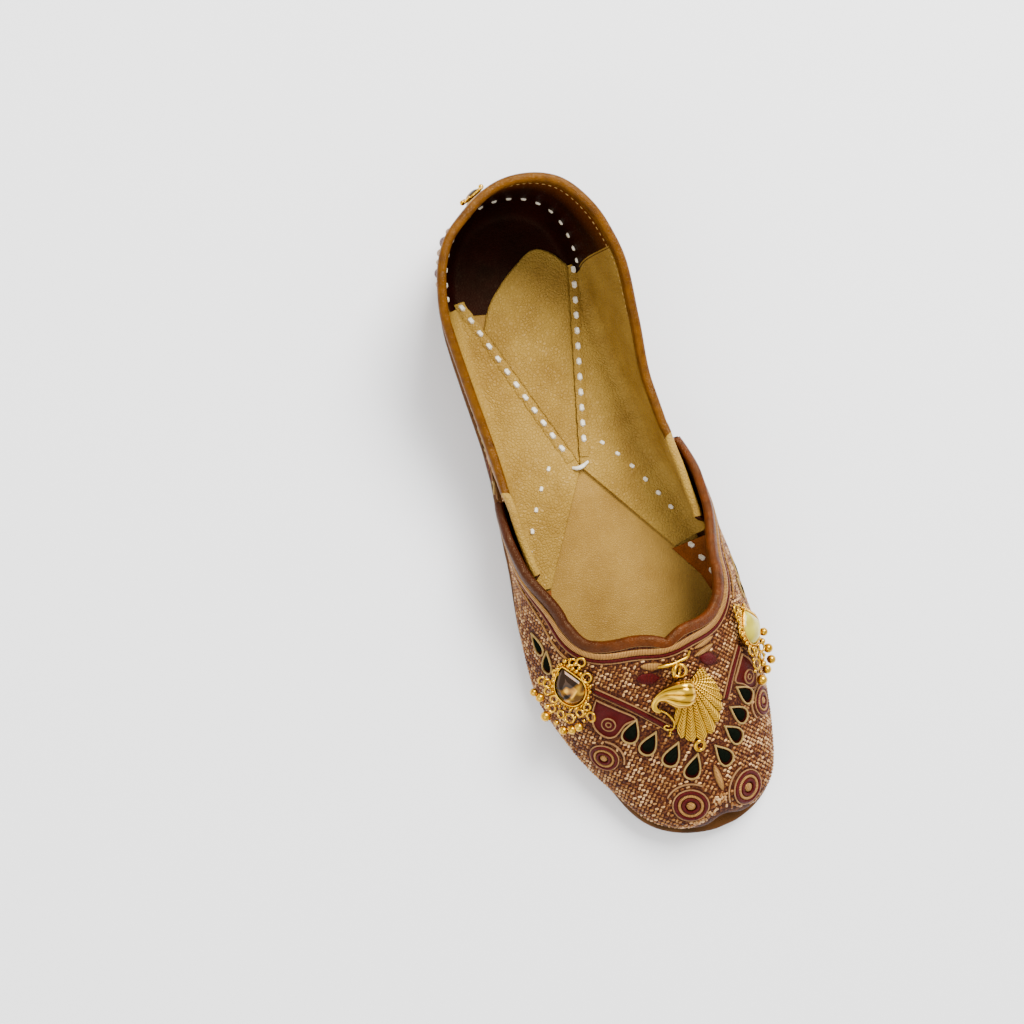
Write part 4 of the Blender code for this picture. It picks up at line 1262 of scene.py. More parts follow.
# Station and side of each drop's middle and of its point
DROPS = (
    (202.7, -20.2, 198.6, -17.2), (209.2, -15.5, 204.6, -11.2), (215.9, -9.0, 211.4, -5.2),
    (222.9, -3.1, 217.2, 0.6), (222.8, 8.5, 217.6, 6.0), (217.1, 14.8, 212.4, 11.6),
    (211.0, 19.2, 206.6, 15.6), (205.2, 24.1, 200.8, 20.6),
)
FLANK_DROPS = (
    (161.8, -40.4, 157.6, -40.6), (169.2, -39.6, 165.0, -38.4),
    (161.8, 39.4, 157.6, 39.4), (169.2, 38.4, 165.0, 37.4),
)
V_BANDS = (
    ((184.2, -28.5), (195.5, -17.2), (208.2, -5.8)), ((188.0, 27.6), (195.5, 21.6), (204.2, 15.6)),
)
PANELS = (
    ((187.6, -28.6), (193.6, -22.6), (198.6, -17.8), (199.6, -21.8), (202.6, -26.0), (201.6, -29.4),
     (197.0, -31.8), (191.8, -31.0)),
    ((191.4, 27.8), (196.2, 24.0), (199.6, 21.6), (201.8, 24.6), (204.6, 27.6), (204.4, 30.4),
     (199.6, 31.8), (194.8, 30.6)),
)
PANEL_MOTIFS = ((197.6, -27.0), (200.2, 27.9))
# Cords of a panel's motif: colour, radius and width
MOTIF_CORDS = (("pale", 2.5, 0.5), ("maroon", 1.75, 1.0), ("pale", 0.95, 0.6))
TOE_LEAF = (230.5, 4.4, 226.0, 4.2)
BROWN_LEAVES = ((186.4, -10.0, 187.6, -5.6), (187.6, 13.4, 184.6, 8.6))
PALE_LEAVES = (
    (182.6, -7.4, 183.8, -3.4, 2.9, 8.5), (181.4, 13.4, 180.2, 19.0, 2.0, 9.5),
    (184.0, 12.6, 182.8, 18.0, 2.0, 9.5),
)


def build_ring(pieces, seat, size):
    """One round medallion: maroon and champagne cords round a gold heart."""
    for colour, radius, width, height in RING_BANDS:
        outline = round_outline(radius * size, 72)
        cord_round(pieces[colour], seat, outline, width * size * MM, height * MM)
    pad(pieces["champagne"], seat, round_outline(RING_HEART * size, 24), 0.9 * MM)
    pad(pieces["shade"], seat, round_outline(RING_GROUND * size, 48), 0.22 * MM, flat=1.0)
    keep_clear(seat.origin, RING_CLEAR * size * MM)


def build_drop(pieces, seat, size):
    """One black drop in a maroon rim with a pale gold outline."""
    cloth, rim, ground = (
        teardrop(width * size, length * size, count)
        for (width, length), count in ((DROP_CLOTH, 40), (DROP_RIM, 64), (DROP_GROUND, 40))
    )
    pad(pieces["black"], seat, cloth, 0.95 * MM, seed=0.3)
    cord_round(pieces["gold"], seat, rim, 0.75 * MM, 0.75 * MM)
    pad(pieces["shade"], seat, ground, 0.25 * MM, flat=1.0)
    keep_row_clear(seat, -2.2, 3.6, 6, 3.3 * size)


def build_leaf(piece, seat, width, length, height, reach, count, radius):
    """One raised leaf, which the field keeps clear of."""
    pad(piece, seat, leaf(width, length), height * MM)
    keep_row_clear(seat, -reach, reach, count, radius)


def build_band(pieces, track, width, height, edge):
    """A maroon cord between two pale threads."""
    cord_line(pieces["maroon"], track, width, height)
    for aside in (-edge, edge):
        cord_line(pieces["pale"], track.moved(aside * MM), 0.5, 0.6)


def seat_at(station, side, *tip):
    """A seat at a place of the vamp in millimetres, turned to a second place if given."""
    return Seat(*spot(station, side), spot(*tip) if tip else None)


def build_panel(pieces, places, motif):
    """One dark maroon panel under a V band, edged in pale thread, with a round motif."""
    middle = seat_at(*np.mean(places, axis=0))
    offset = last_point(*spot(*np.transpose(places))) - middle.origin
    flat = np.stack([offset @ middle.across, offset @ middle.along], -1)
    closed = smooth_through(np.vstack([flat, flat[:1]]), 64)[:-1]
    pad(pieces["maroon"], middle, closed, 0.42 * MM, flat=1.0)
    cord_round(pieces["pale"], middle, closed, 0.6 * MM, 0.75 * MM)
    centre = seat_at(*motif)
    for colour, radius, width in MOTIF_CORDS:
        cord_round(pieces[colour], centre, round_outline(radius, 32), width * MM, 1.0 * MM)
    pad(pieces["maroon"], centre, round_outline(0.8, 16), 1.1 * MM)
    keep_clear(middle.lift(flat[:, 0] * 0.55, flat[:, 1] * 0.55, 0.0), 4.6 * MM)


# Quarter ornaments: station in shares of the length and level, then the point's or the size
QUARTER_RINGS = ((0.265, 0.92, 0.8), (0.385, 0.95, 0.72))
QUARTER_DROPS = (
    (0.215, 0.62, 0.215, 0.85), (0.225, 1.36, 0.225, 1.56), (0.300, 1.42, 0.305, 1.62),
    (0.325, 0.62, 0.325, 0.85), (0.350, 1.34, 0.355, 1.54), (0.410, 1.38, 0.405, 1.56),
)
QUARTER_BANDS = (
    ((0.150, 0.30), (0.23, 0.40), (0.33, 0.36), (0.43, 0.30)),
    ((0.150, 1.62), (0.180, 1.20), (0.180, 0.75), (0.152, 0.34)),
)
HEEL_STRIP_LEVEL = 1.28
# Raised leaves beside the heel: station, width, length and height
HEEL_STRIPS = (
    ("pale", 0.036, 1.8, 17.0, 1.5), ("maroon", 0.048, 3.8, 20.0, 2.0),
    ("champagne", 0.062, 2.8, 20.0, 1.9), ("gold", 0.074, 2.0, 19.0, 1.7),
    ("maroon", 0.089, 3.8, 19.0, 2.0), ("champagne", 0.104, 2.6, 17.0, 1.6),
    ("pale", 0.116, 1.6, 15.0, 1.3),
)


def side_turn(station, side):
    """The turn of a station on the left side, when side is negative, or on the right."""
    turn = turn_of(station)
    return turn if side < 0 else 2.0 - turn


def quarter_seat(side, station, level, *tip):
    """A seat on a quarter's flank, turned to a second place if given."""
    toward = (side_turn(tip[0], side), tip[1]) if tip else None
    return Seat(side_turn(station, side), level, toward)


def build_quarter_ornaments(pieces):
    """Rings, drops and bands round the heel, and the raised strips beside it."""
    for _, side in SIDE_SIGNS:
        for station, level, size in QUARTER_RINGS:
            build_ring(pieces, quarter_seat(side, station, level), size)
        for drop in QUARTER_DROPS:
            build_drop(pieces, quarter_seat(side, *drop), QUARTER_DROP_SIZE)
        for places in QUARTER_BANDS:
            station, level = smooth_through(places, 90).T
            build_band(pieces, Track(side_turn(station, side), level), 1.6, 0.9, 1.15)
        for colour, station, width, length, height in HEEL_STRIPS:
            seat = quarter_seat(side, station, HEEL_STRIP_LEVEL)
            sizes = (width, length, height, 0.4 * length, 7, width / 2.0 + 0.3)
            build_leaf(pieces[colour], seat, *sizes)


def build_vamp_ornaments(pieces):
    """Everything embroidered on the vamp, apart from its field."""
    for station, side, size in TOE_RINGS:
        build_ring(pieces, seat_at(station, side), size)
    for drops, size in ((DROPS, 1.0), (FLANK_DROPS, FLANK_DROP_SIZE)):
        for drop in drops:
            build_drop(pieces, seat_at(*drop), size)
    for places in V_BANDS:
        build_band(pieces, line_between(places, 120), 1.7, 0.95, 1.2)
    for places, motif in zip(PANELS, PANEL_MOTIFS):
        build_panel(pieces, places, motif)
    for leaf_places in BROWN_LEAVES:
        build_leaf(pieces["maroon"], seat_at(*leaf_places), 4.6, 8.4, 0.9, 2.6, 3, 2.6)
    for *leaf_places, width, length in PALE_LEAVES:
        build_leaf(pieces["champagne"], seat_at(*leaf_places), width, length, 1.0, 3.2, 4, 1.7)
    turns = np.linspace(0.72, 1.28, 60) * math.pi
    for station, side, size in TOE_RINGS:
        reach = 9.0 * size * MM
        arc = seat_at(station, side).trace(reach * np.sin(turns), reach * np.cos(turns))
        cord_line(pieces["pale"], Track(*arc), 0.7, 0.6)
    build_leaf(pieces["champagne"], seat_at(*TOE_LEAF), 2.6, 11.0, 0.9, 4.4, 5, 1.6)


# Pitch and rows of the field, and length, width and height of stitches in millimetres
STITCH_PITCH, STITCH_ROW = 2.3 * MM, 1.12 * MM
STITCH_SLANTS, SLANT_SPREAD, STITCH_DRIFT = (0.62, -0.42), 0.3, 0.25 * MM
STITCH_SIZES = (1.75, 0.9, 0.42)
HAND_STITCH_SIZES = (3.2, 2.0, 0.95)
FRONT_STITCH_SIZES = (2.5, 1.6, 0.8)
ARC_STITCH_SIZES = (2.4, 1.2, 0.6)
THROAT_STITCH_SIZES = (1.2, 0.5, 0.3)
MACHINE_STITCH_SIZES = (1.5, 0.5, 0.25)


def stitch_shape():
    """One plump stitch, low-sided, as points in shares of its length, width and height."""
    section = ((-1.0, -0.3), (-0.62, 0.72), (0.62, 0.72), (1.0, -0.3))
    points = [(-1.0, 0.0, -0.3)]
    points += [(along, *place) for along in (-0.55, 0.55) for place in section]
    points += [(1.0, 0.0, -0.3)]
    faces = [(1, 2, 6, 5), (2, 3, 7, 6), (3, 4, 8, 7)]
    tips = [(0, 2, 1), (0, 3, 2), (0, 4, 3), (9, 5, 6), (9, 6, 7), (9, 7, 8)]
    return np.array(points), np.array(faces), np.array(tips)


def add_stitches(piece, places, slant, seed, sizes):
    """Lays a stitch at each place, turned from the line's direction by its slant."""
    points, outward, onward = places
    shape, faces, tips = stitch_shape()
    slant, seed = np.broadcast_to(slant, len(points)), np.broadcast_to(seed, len(points))
    aside = np.cross(outward, onward)
    long = onward * np.cos(slant)[:, None] + aside * np.sin(slant)[:, None]
    short = np.cross(outward, long)
    half = (0.92 + 0.16 * seed)[:, None] * np.array(sizes) * (0.5, 0.5, 1.0) * MM
    local = shape * half[:, None]
    directions = np.stack([long, short, outward], 1)
    placed = points[:, None] + local @ directions
    flow = local.copy()
    flow[..., 2] = seed[:, None]
    base = (np.arange(len(points)) * len(shape))[:, None, None]
    start = piece.count
    piece.add(placed, (faces[None] + base).reshape(-1, 4), flow.reshape(-1, 3))
    piece.faces.extend((tips[None] + base + start).reshape(-1, 3).tolist())


def clear_of_ornaments(points):
    """Which points are clear of every ornament that was noted."""
    clear = np.ones(len(points), bool)
    for spots, radius in KEEP_CLEAR:
        for start in range(0, len(spots), 200):
            gaps = points[:, None] - spots[None, start:start + 200]
            clear &= (np.einsum("ijk,ijk->ij", gaps, gaps) > radius * radius).all(1)
    return clear


def vamp_rows():
    """Stitch places on the vamp: turn, level and row number along rows across the foot."""
    turns = np.linspace(0.40, 1.0, 420)
    levels = np.linspace(0.12, 5.88, 260)
    depth = -last_point(turns[:, None], levels)[..., 1]
    profile = np.vstack([
        last_point(np.linspace(0.40, 1.0, 300), CROWN_LEVEL),
        last_point(1.0, np.linspace(CROWN_LEVEL, 0.3, 60)),
    ])
    lengths = run_lengths(profile)
    starts = np.interp(np.arange(0.0, lengths[-1], STITCH_ROW), lengths, -profile[:, 1])
    found = []
    for number, start in enumerate(starts):
        reach = (depth[0] < start) & (start < depth[-1])
        if reach.sum() < 4:
            continue
        turn = np.array([np.interp(start, column, turns) for column in depth[:, reach].T])
        level = levels[reach]
        run = run_lengths(last_point(turn, level))
        middle = np.interp(CROWN_LEVEL, level, run)
        first = math.ceil(-middle / STITCH_PITCH)
        last = math.floor((run[-1] - middle) / STITCH_PITCH)
        wanted = middle + (np.arange(first, last) + 0.5 * (number % 2)) * STITCH_PITCH
        columns = (np.interp(wanted, run, turn), np.interp(wanted, run, level))
        found.append(np.stack([*columns, np.full(len(wanted), number)], -1))
    found = np.vstack(found)
    turn, level = found[:, 0], found[:, 1]
    edge_turn, edge_level = throat_edge(160)
    order = np.argsort(edge_level)
    limit = np.interp(level, edge_level[order], edge_turn[order])
    rear = turn_of(VAMP_REAR_TOP) + 0.006
    low = np.minimum(level, 2.0 * CROWN_LEVEL - level)
    inside = np.where(low > EDGE_LEVEL, turn > limit, (turn > rear) & (low < ear_top(turn)))
    return found[inside]


def quarter_rows():
    """Stitch places on the quarters: turn, level and row number round the heel."""
    turns = np.linspace(-turn_of(0.47), turn_of(0.47), 1400)
    levels = np.linspace(0.05, 2.0, 120)
    heights = quarter_point(turns[:, None], levels)[..., 2]
    found = []
    for number, height in enumerate(np.arange(6.5 * MM, 58.0 * MM, STITCH_ROW)):
        level = np.array([np.interp(height, row, levels) for row in heights])
        run = run_lengths(quarter_point(turns, level))
        wanted = np.arange(0.5 * (number % 2), run[-1] / STITCH_PITCH) * STITCH_PITCH
        turn, level = np.interp(wanted, run, turns), np.interp(wanted, run, level)
        tall = np.interp(wanted, run, heights[:, -1])
        keep = (height < tall - 4.0 * MM) & (station_of(turn) < 0.435)
        found.append(np.stack([turn, level, np.full(len(turn), number)], -1)[keep])
    return np.vstack(found)


def build_field(name, rows, surface, ahead, chance):
    """The field of champagne and bronze stitches over a part of the upper."""
    rows = rows[clear_of_ornaments(surface(rows[:, 0], rows[:, 1]))]
    turn, level, number = rows.T
    outward = last_normal(turn, level)
    onward = surface(turn + ahead[0], level + ahead[1]) - surface(turn - ahead[0], level - ahead[1])
    onward = unit(onward - outward * (onward * outward).sum(-1, keepdims=True))
    seed = chance.random(len(turn))
    slant = np.where(number % 2 == 0, *STITCH_SLANTS)
    slant = slant + SLANT_SPREAD * (chance.random(len(turn)) - 0.5)
    drift = (chance.random(len(turn)) - 0.5) * STITCH_DRIFT
    piece = Piece()
    places = (surface(turn, level) + onward * drift[:, None], outward, onward)
    add_stitches(piece, places, slant, seed, STITCH_SIZES)
    piece.place(name, stitch_thread(), "embroidery", merge=0.0)


def build_fields():
    """Both fields of stitches, with their random draws in this order."""
    chance = np.random.default_rng(7)
    build_field("vamp_field", vamp_rows(), last_point, (0.0, WIDE_STEP), chance)
    build_field("quarters_field", quarter_rows(), quarter_point, (WIDE_STEP, 0.0), chance)


# Threads: light and dark colour, roughness, the ribs' pitch in millimetres and metal shine
THREADS = {
    "pale": ("aa7e50", "5e381a", 0.38, 0.30, 0.3),
    "champagne": ("a4763c", "4e2a0c", 0.36, 0.55, 0.3),
    "gold": ("ac8c50", "64461c", 0.36, 0.45, 0.3),
    "maroon": ("500806", "220302", 0.42, 0.50, 0.3),
    "black": ("10140d", "020302", 0.5, 0.50, 0.0),
    "shade": ("2c0806", "160302", 0.7, 0.50, 0.0),
}


def build_embroidery():
    """All couched cords and pads, one joined piece for each colour of thread."""
    pieces = {name: Piece() for name in THREADS}
    build_throat_borders(pieces)
    build_collar_borders(pieces)
    build_vamp_ornaments(pieces)
    build_quarter_ornaments(pieces)
    for name, piece in pieces.items():
        piece.place("threads_" + name, thread(name), "embroidery")


def ribs(made, value, pitch):
    """Even ribs from 0 to 1 across a flow value, at a pitch in millimetres."""
    wave = made.math("SINE", made.math("MULTIPLY", value, 2.0 * math.pi / (pitch * MM)))
    return made.math("MULTIPLY_ADD", wave, 0.5, 0.5)


@once
def thread(name):
    """Satin thread of one colour, its strands showing as fine cross ribs, darker between the strands as
    painted shade, with random flecks.
    """
    light, dark, roughness, pitch, shine = THREADS[name]
    made = Finish(name + " thread", roughness=roughness, metallic=shine, specular=0.4 * shine)
    fleck = made.math("MULTIPLY", made.noise(900.0, 3.0), 0.5)
    # The ribs darken the colour in the grooves between strands: painted shade; the flecks are random
    # tone
    value = made.math("MULTIPLY_ADD", ribs(made, made.flow()[0], pitch), 0.55, fleck)
    made.colour(made.ramp(value, ((0.2, dark), (0.62, light))))
    made.bump(value, 0.0003, 0.8)
    return made


@once
def stitch_thread():
    """The field's thread, from dark bronze to pale champagne, stitch by stitch."""
    made = Finish("stitch thread", roughness=0.34, metallic=0.45)
    across, seed = made.flow()[1:3]
    patch = made.math("MULTIPLY", made.noise(160.0, 2.0), 0.62)
    value = made.math("MULTIPLY_ADD", seed, 0.46, patch)
    stops = ((0.24, "34130a"), (0.40, "6c3c16"), (0.60, "946430"), (0.84, "d0a470"))
    made.colour(made.ramp(value, stops))
    made.bump(ribs(made, across, 0.32), 0.00008, 0.5)
    return made


# Inside of the shoe: heights in metres, the rest in millimetres
FLOOR_TOP = INSOLE_THICKNESS + GAP + FLAP_THICKNESS
LINING_EASE = 0.00025
HAND_PITCH = 5.9
BAND_WIDTH, BAND_HEIGHT = 3.9, 0.75
# Section of a band in shares of its half width and its height
BAND_PROFILE = (
    (-1.0, -0.4), (-1.0, 0.45), (-0.7, 0.92), (0.0, 1.0), (0.7, 0.92), (1.0, 0.45), (1.0, -0.4),
)
# The tie's thread: right, behind and above its middle, and its half width
TIE_PLACE = (106.4, 0.2)
TIE_THREAD = (
    (-3.1, 0.9, -0.2, 0.55), (-1.4, 0.1, 0.7, 0.8), (0.6, 0.2, 0.9, 0.8), (3.2, 1.2, -0.1, 0.5),
)
# Sides of the vamp's turned-in margin from rear to front
MARGIN_SIDES = {"left": (26.5, 30.5, 33.0), "right": (22.6, 29.6, 33.0)}
PAD_FRONT = 106.0
# Middle of the heel's floor, and the place that the stitches round the heel face
HEEL_CENTRE, ARC_CENTRE = (44.0, 3.0), (45.0, 3.0)
UP = np.array((0.0, 0.0, 1.0))
COUNTER_FRONT = 0.134
# The linings' bend from the wall to the floor, their soft rise and their turned rim
BEND_REACH, FLOOR_CROWN, RIM_WIDTH = 4.5 * MM, 0.35 * MM, 0.25 * MM

# Rear outline of the heel pad: station and side in millimetres, left to right
PAD_REAR = (
    (46.0, -16.6), (37.0, -11.0), (30.0, -3.0), (25.0, 5.0), (22.2, 11.0), (22.6, 15.0),
    (26.0, 19.5), (31.0, 22.6),
)
# Hand stitches along the flaps' front parts
FRONT_STITCHES = {
    "left": ((102.0, -11.0), (109.0, -17.0), (116.5, -22.1), (124.0, -26.4), (131.0, -29.6)),
    "right": (
        (99.5, 10.6), (105.0, 14.4), (111.5, 18.2), (118.0, 21.4), (125.5, 24.8), (133.0, 27.8),
    ),
}
# Creases of the inside leathers: both ends as station and side, depth and width
CREASES = (
    ((52.0, 1.0), (61.0, 9.0), 0.45, 1.3), ((60.0, -3.0), (71.0, 6.0), 0.4, 1.2),
    ((70.0, -5.0), (80.0, 3.0), 0.35, 1.2), ((40.0, 2.0), (47.0, 12.0), 0.35, 1.4),
    ((111.0, 13.0), (124.0, 16.5), 0.4, 1.3), ((117.0, 22.0), (131.0, 24.0), 0.4, 1.4),
    ((124.0, 15.5), (137.0, 20.0), 0.35, 1.3), ((116.0, -9.0), (129.0, -14.0), 0.4, 1.3),
    ((126.0, -17.0), (139.0, -21.0), 0.35, 1.3), ((72.0, 20.0), (92.0, 21.0), -0.45, 2.4),
    ((62.0, -22.0), (84.0, -20.0), -0.4, 2.4), ((94.0, 26.0), (112.0, 27.0), -0.5, 2.6),
)
# Stitches round the inner heel: station, side and height
HEEL_ARC = (
    (33.0, -25.2, 15.0), (24.0, -24.6, 18.0), (16.5, -19.0, 19.5), (11.6, -12.0, 20.0),
    (9.6, -6.0, 20.0), (9.4, 0.0, 20.0), (10.4, 6.0, 20.0), (12.2, 13.5, 20.0),
    (16.0, 20.4, 20.0), (22.0, 23.6, 19.0), (29.0, 25.4, 16.0), (34.0, 25.0, 11.5),
)


def flap_edge(side, station):
    """Side of a flap's inner edge, in metres: back edge to the tie, then front edge."""
    apart = dict(SIDE_SIGNS)[side] * 0.5 * GAP / BALL_WIDTH
    stations = (FLAP_BACK[side][0], FLAP_TIE[0], FLAP_FRONT[side][0])
    sides = (FLAP_BACK[side][1], FLAP_TIE[1] + apart, FLAP_FRONT[side][1])
    return np.interp(station, stations, sides) * BALL_WIDTH


def floor_point(station_mm, side_mm, height=FLOOR_TOP):
    """Points on the shoe's floor at stations and sides in millimetres."""
    station = np.asarray(station_mm, float) * MM / SHOE_LENGTH
    side = np.asarray(side_mm, float) * MM / BALL_WIDTH
    return plan_point(station, side, seat_height(station) + height)


def creased(points):
    """Points of the inside leathers, sunk along the listed creases."""
    station = (0.5 - points[..., 1] / SHOE_LENGTH) * SHOE_LENGTH / MM
    side = points[..., 0] / MM
    sunk = np.zeros(station.shape)
    for first, second, depth, width in CREASES:
        span = np.subtract(second, first)
        share = (station - first[0]) * span[0] + (side - first[1]) * span[1]
        share = np.clip(share / np.dot(span, span), 0.0, 1.0)
        bend = math.sin(first[0]) * 1.2 * np.sin(math.pi * share)
        ahead, beside = station - first[0] - span[0] * share, side - first[1] - span[1] * share
        gap = np.hypot(ahead, beside + bend)
        sunk += depth * np.sin(math.pi * share) ** 0.5 * np.exp(-(gap / width) ** 2)
    moved = points.copy()
    moved[..., 2] -= sunk * MM
    return moved


def lining_rows(bottom_turn, top_turn, inner, floor_height, sign):
    """Sheet of points from the collar down the inner wall and over the floor to an edge."""
    shares = np.linspace(1.0, 0.24, 34)
    turn = bottom_turn[:, None] * (1.0 - shares) + top_turn[:, None] * shares
    level = quarter_top(top_turn)[:, None] * shares
    turn = turn if sign < 0 else 2.0 - turn
    wall = quarter_point(turn, level, QUARTER_WALL + LINING_EASE)
    foot = wall[:, -1].copy()
    foot[:, 2] = inner[:, 2]
    span = inner - foot
    length = np.linalg.norm(span, axis=-1, keepdims=True)
    start = foot + span * np.minimum(BEND_REACH / length, 0.5)
    reach = np.linalg.norm(start - wall[:, -1], axis=-1, keepdims=True)
    leave = unit(wall[:, -1] - wall[:, -3]) * reach
    rows = list(np.swapaxes(wall, 0, 1))
    for share in np.linspace(0.1, 1.0, 10):
        rows.append(hermite(wall[:, -1], start, leave, span / length * reach, share))
    for share in np.linspace(0.12, 1.0, 14):
        lifted = (0.0, 0.0, FLOOR_CROWN * math.sin(math.pi * share))
        rows.append(start + (inner - start) * share + lifted)
    rim = inner + unit(inner - start) * RIM_WIDTH - (0.0, 0.0, FLOOR_CROWN)
    low = rim.copy()
    low[:, 2] = inner[:, 2] - floor_height
    return np.stack(rows + [rim, low], 1)


def build_linings():
    """The quarters' linings, each turned in from the wall over the insole to its V edge."""
    for side, sign in SIDE_SIGNS:
        stations = np.linspace(FLAP_BACK[side][0], FLAP_FRONT[side][0], 130)
        bottom = turn_of(stations)
        share = (bottom - bottom[0]) / (bottom[-1] - bottom[0])
        top = bottom[0] + (turn_of(QUARTER_FRONT_TOP) - 0.002 - bottom[0]) * share
        height = seat_height(stations) + FLOOR_TOP
        inner = plan_point(stations, flap_edge(side, stations) / BALL_WIDTH, height)
        rows = creased(lining_rows(bottom, top, inner, FLAP_THICKNESS + GAP, sign))
        piece = Piece()
        piece.grid(rows)
        piece.grid(np.stack([rows[-1], rows[-1] + (0.0, 0.6 * MM, -0.3 * MM)]))
        replaced = ("lining_flap_" + side,)
        piece.place("lining_" + side, leather("pebbled tan leather"), "lining_leather", replaced)


def build_counter():
    """The heel counter's dark lining: the wall round the heel and the floor below it, its dark maroon
    deepened with painted shade.
    """
    end = turn_of(COUNTER_FRONT) + 0.004
    turn = np.linspace(-end, end, 150)
    centre = floor_point(*HEEL_CENTRE, INSOLE_THICKNESS + 0.1 * MM)
    inner = np.tile(centre, (len(turn), 1))
    piece = Piece()
    piece.grid(lining_rows(turn, turn, inner, 0.1 * MM, -1.0)[:, :-2])
    piece.place("heel_counter_lining", leather("dark lining leather"), "lining_leather")


def build_heel_pad():
    """The pebbled heel pad that lies between the two seam bands."""
    rear = smooth_through(PAD_REAR, 80)
    apex = int(np.argmin(rear[:, 0]))
    back = rear[apex, 0]
    stations = np.unique(np.concatenate([
        back + (PAD_FRONT - back) * np.linspace(0.002, 0.3, 50) ** 1.6 / 0.3 ** 0.6,
        np.linspace(50.0, PAD_FRONT - 1.5, 60),
    ]))
    edges = []
    curves = (("left", rear[apex::-1], PAD_REAR[0][0]), ("right", rear[apex:], PAD_REAR[-1][0]))
    for side, curve, join in curves:
        straight = flap_edge(side, stations * MM / SHOE_LENGTH) / MM
        edges.append(np.where(stations < join, np.interp(stations, *curve.T), straight)[:, None])
    left, right = edges
    across = np.sin(np.linspace(-math.pi / 2.0, math.pi / 2.0, 56)) * 0.5 + 0.5
    side = left + (right - left) * across
    edge = np.minimum(side - left, right - side)
    edge = np.minimum(edge, (stations - stations[0])[:, None] * 1.5)
    rise = 0.95 * np.clip(edge / 1.0, 0.0, 1.0) ** 0.5 + 0.25 * np.clip(edge / 8.0, 0.0, 1.0)
    height = INSOLE_THICKNESS + (0.05 + rise) * MM
    piece = Piece()
    piece.grid(creased(floor_point(np.broadcast_to(stations[:, None], side.shape), side, height)))
    piece.place("heel_pad", leather("pebbled tan leather"), "insole_leather")


def stitch_line(piece, path, ends, pitch, slant, seed, sizes, lifted=0.0):
    """A row of stitches along a path: margins at its ends, pitch and sizes in millimetres."""
    lengths = np.arange(ends[0] * MM, path.lengths[-1] - ends[1] * MM, pitch * MM)
    places, outward, onward = path.at(lengths)
    add_stitches(piece, (places + lifted, outward, onward), slant, seed, sizes)


def build_bands():
    """The seam bands of the V, each drawn in at every hand stitch, and their stitches."""
    bands, threads = Piece(), Piece()
    for side, sign in SIDE_SIGNS:
        station = np.linspace(FLAP_BACK[side][0] - 0.004, FLAP_TIE[0] - 0.012, 240)
        beside = flap_edge(side, station) + sign * (BAND_WIDTH / 2.0 - 0.2) * MM
        path = Path(plan_point(station, beside / BALL_WIDTH, seat_height(station) + FLOOR_TOP), UP)
        swell = 0.97 + 0.07 * np.cos(2.0 * math.pi * path.lengths / (HAND_PITCH * MM))
        sizes = (BAND_WIDTH / 2.0 * MM, BAND_HEIGHT * MM)
        sweep(bands, path, np.array(BAND_PROFILE) * sizes, swell)
        ends, lifted = (0.35 * HAND_PITCH, 1.5), UP * (BAND_HEIGHT + 0.05) * MM
        stitch_line(threads, path, ends, HAND_PITCH, 0.08, 0.5, HAND_STITCH_SIZES, lifted)
        front = smooth_through(FRONT_STITCHES[side], 60)
        path = Path(floor_point(front[:, 0], front[:, 1], FLOOR_TOP + 0.3 * MM), UP)
        lengths = np.linspace(1.0 * MM, path.lengths[-1] - 1.0 * MM, len(FRONT_STITCHES[side]))
        add_stitches(threads, path.at(lengths), 0.1, 0.4, FRONT_STITCH_SIZES)
    tie = np.array(TIE_THREAD) * MM
    wire(threads, floor_point(*TIE_PLACE, FLOOR_TOP + 0.4 * MM) + tie[:, :3], tie[:, 3])
    station, beside, height = smooth_through(HEEL_ARC, 200).T * MM
    points = plan_point(station / SHOE_LENGTH, beside / BALL_WIDTH, height)
    centre = floor_point(*ARC_CENTRE)
    inward = unit((centre - points) * (1.0, 1.0, 0.0))
    path = Path(inner_wall_near(points) + inward * 0.2 * MM, inward)
    stitch_line(threads, path, (2.0, 0.0), 5.6, 0.1, 0.4, ARC_STITCH_SIZES)
    bands.place("seam_bands", leather("pebbled tan leather"), "lining_leather")
    threads.place("hand_stitches", hand_thread(), "embroidery", merge=0.0)


def inner_wall_near(points):
    """The lining's places on the wall that lie nearest to points in plan, at their heights."""
    turns = np.linspace(-0.5, 0.5, 500)
    wall = quarter_point(turns, 1.0, QUARTER_WALL)[:, :2]
    turn = turns[((points[:, None, :2] - wall) ** 2).sum(-1).argmin(1)]
    levels = np.linspace(0.1, 2.0, 80)
    heights = quarter_point(turn[:, None], levels, QUARTER_WALL + LINING_EASE)[..., 2]
    level = np.array([np.interp(*row, levels) for row in zip(points[:, 2], heights)])
    return quarter_point(turn, level, QUARTER_WALL + LINING_EASE)


def build_machine_stitches():
    """The fine stitch line inside the collar, below its binding."""
    piece = Piece()
    end = turn_of(QUARTER_FRONT_TOP) - 0.01
    turn = np.linspace(-end, end, 1200)
    points = quarter_point(turn, quarter_top(turn) - 0.155, QUARTER_WALL + LINING_EASE)
    path = Path(points, -last_normal(turn, 1.85))
    stitch_line(piece, path, (1.0, 0.0), 2.3, 0.05, 0.5, MACHINE_STITCH_SIZES)
    piece.place("machine_stitches", machine_thread(), "embroidery", merge=0.0)


def build_throat_stitches():
    """The fine stitch line on the throat's leather."""
    track = throat_track()
    outward, opening = opening_directions(track)
    path = Path(track.points - opening * 1.15 * MM + outward * 0.32 * MM, outward)
    piece = Piece()
    stitch_line(piece, path, (2.0, 2.0), 1.9, 0.05, 0.5, THROAT_STITCH_SIZES)
    piece.place("throat_stitches", stitch_thread(), "embroidery", merge=0.0)


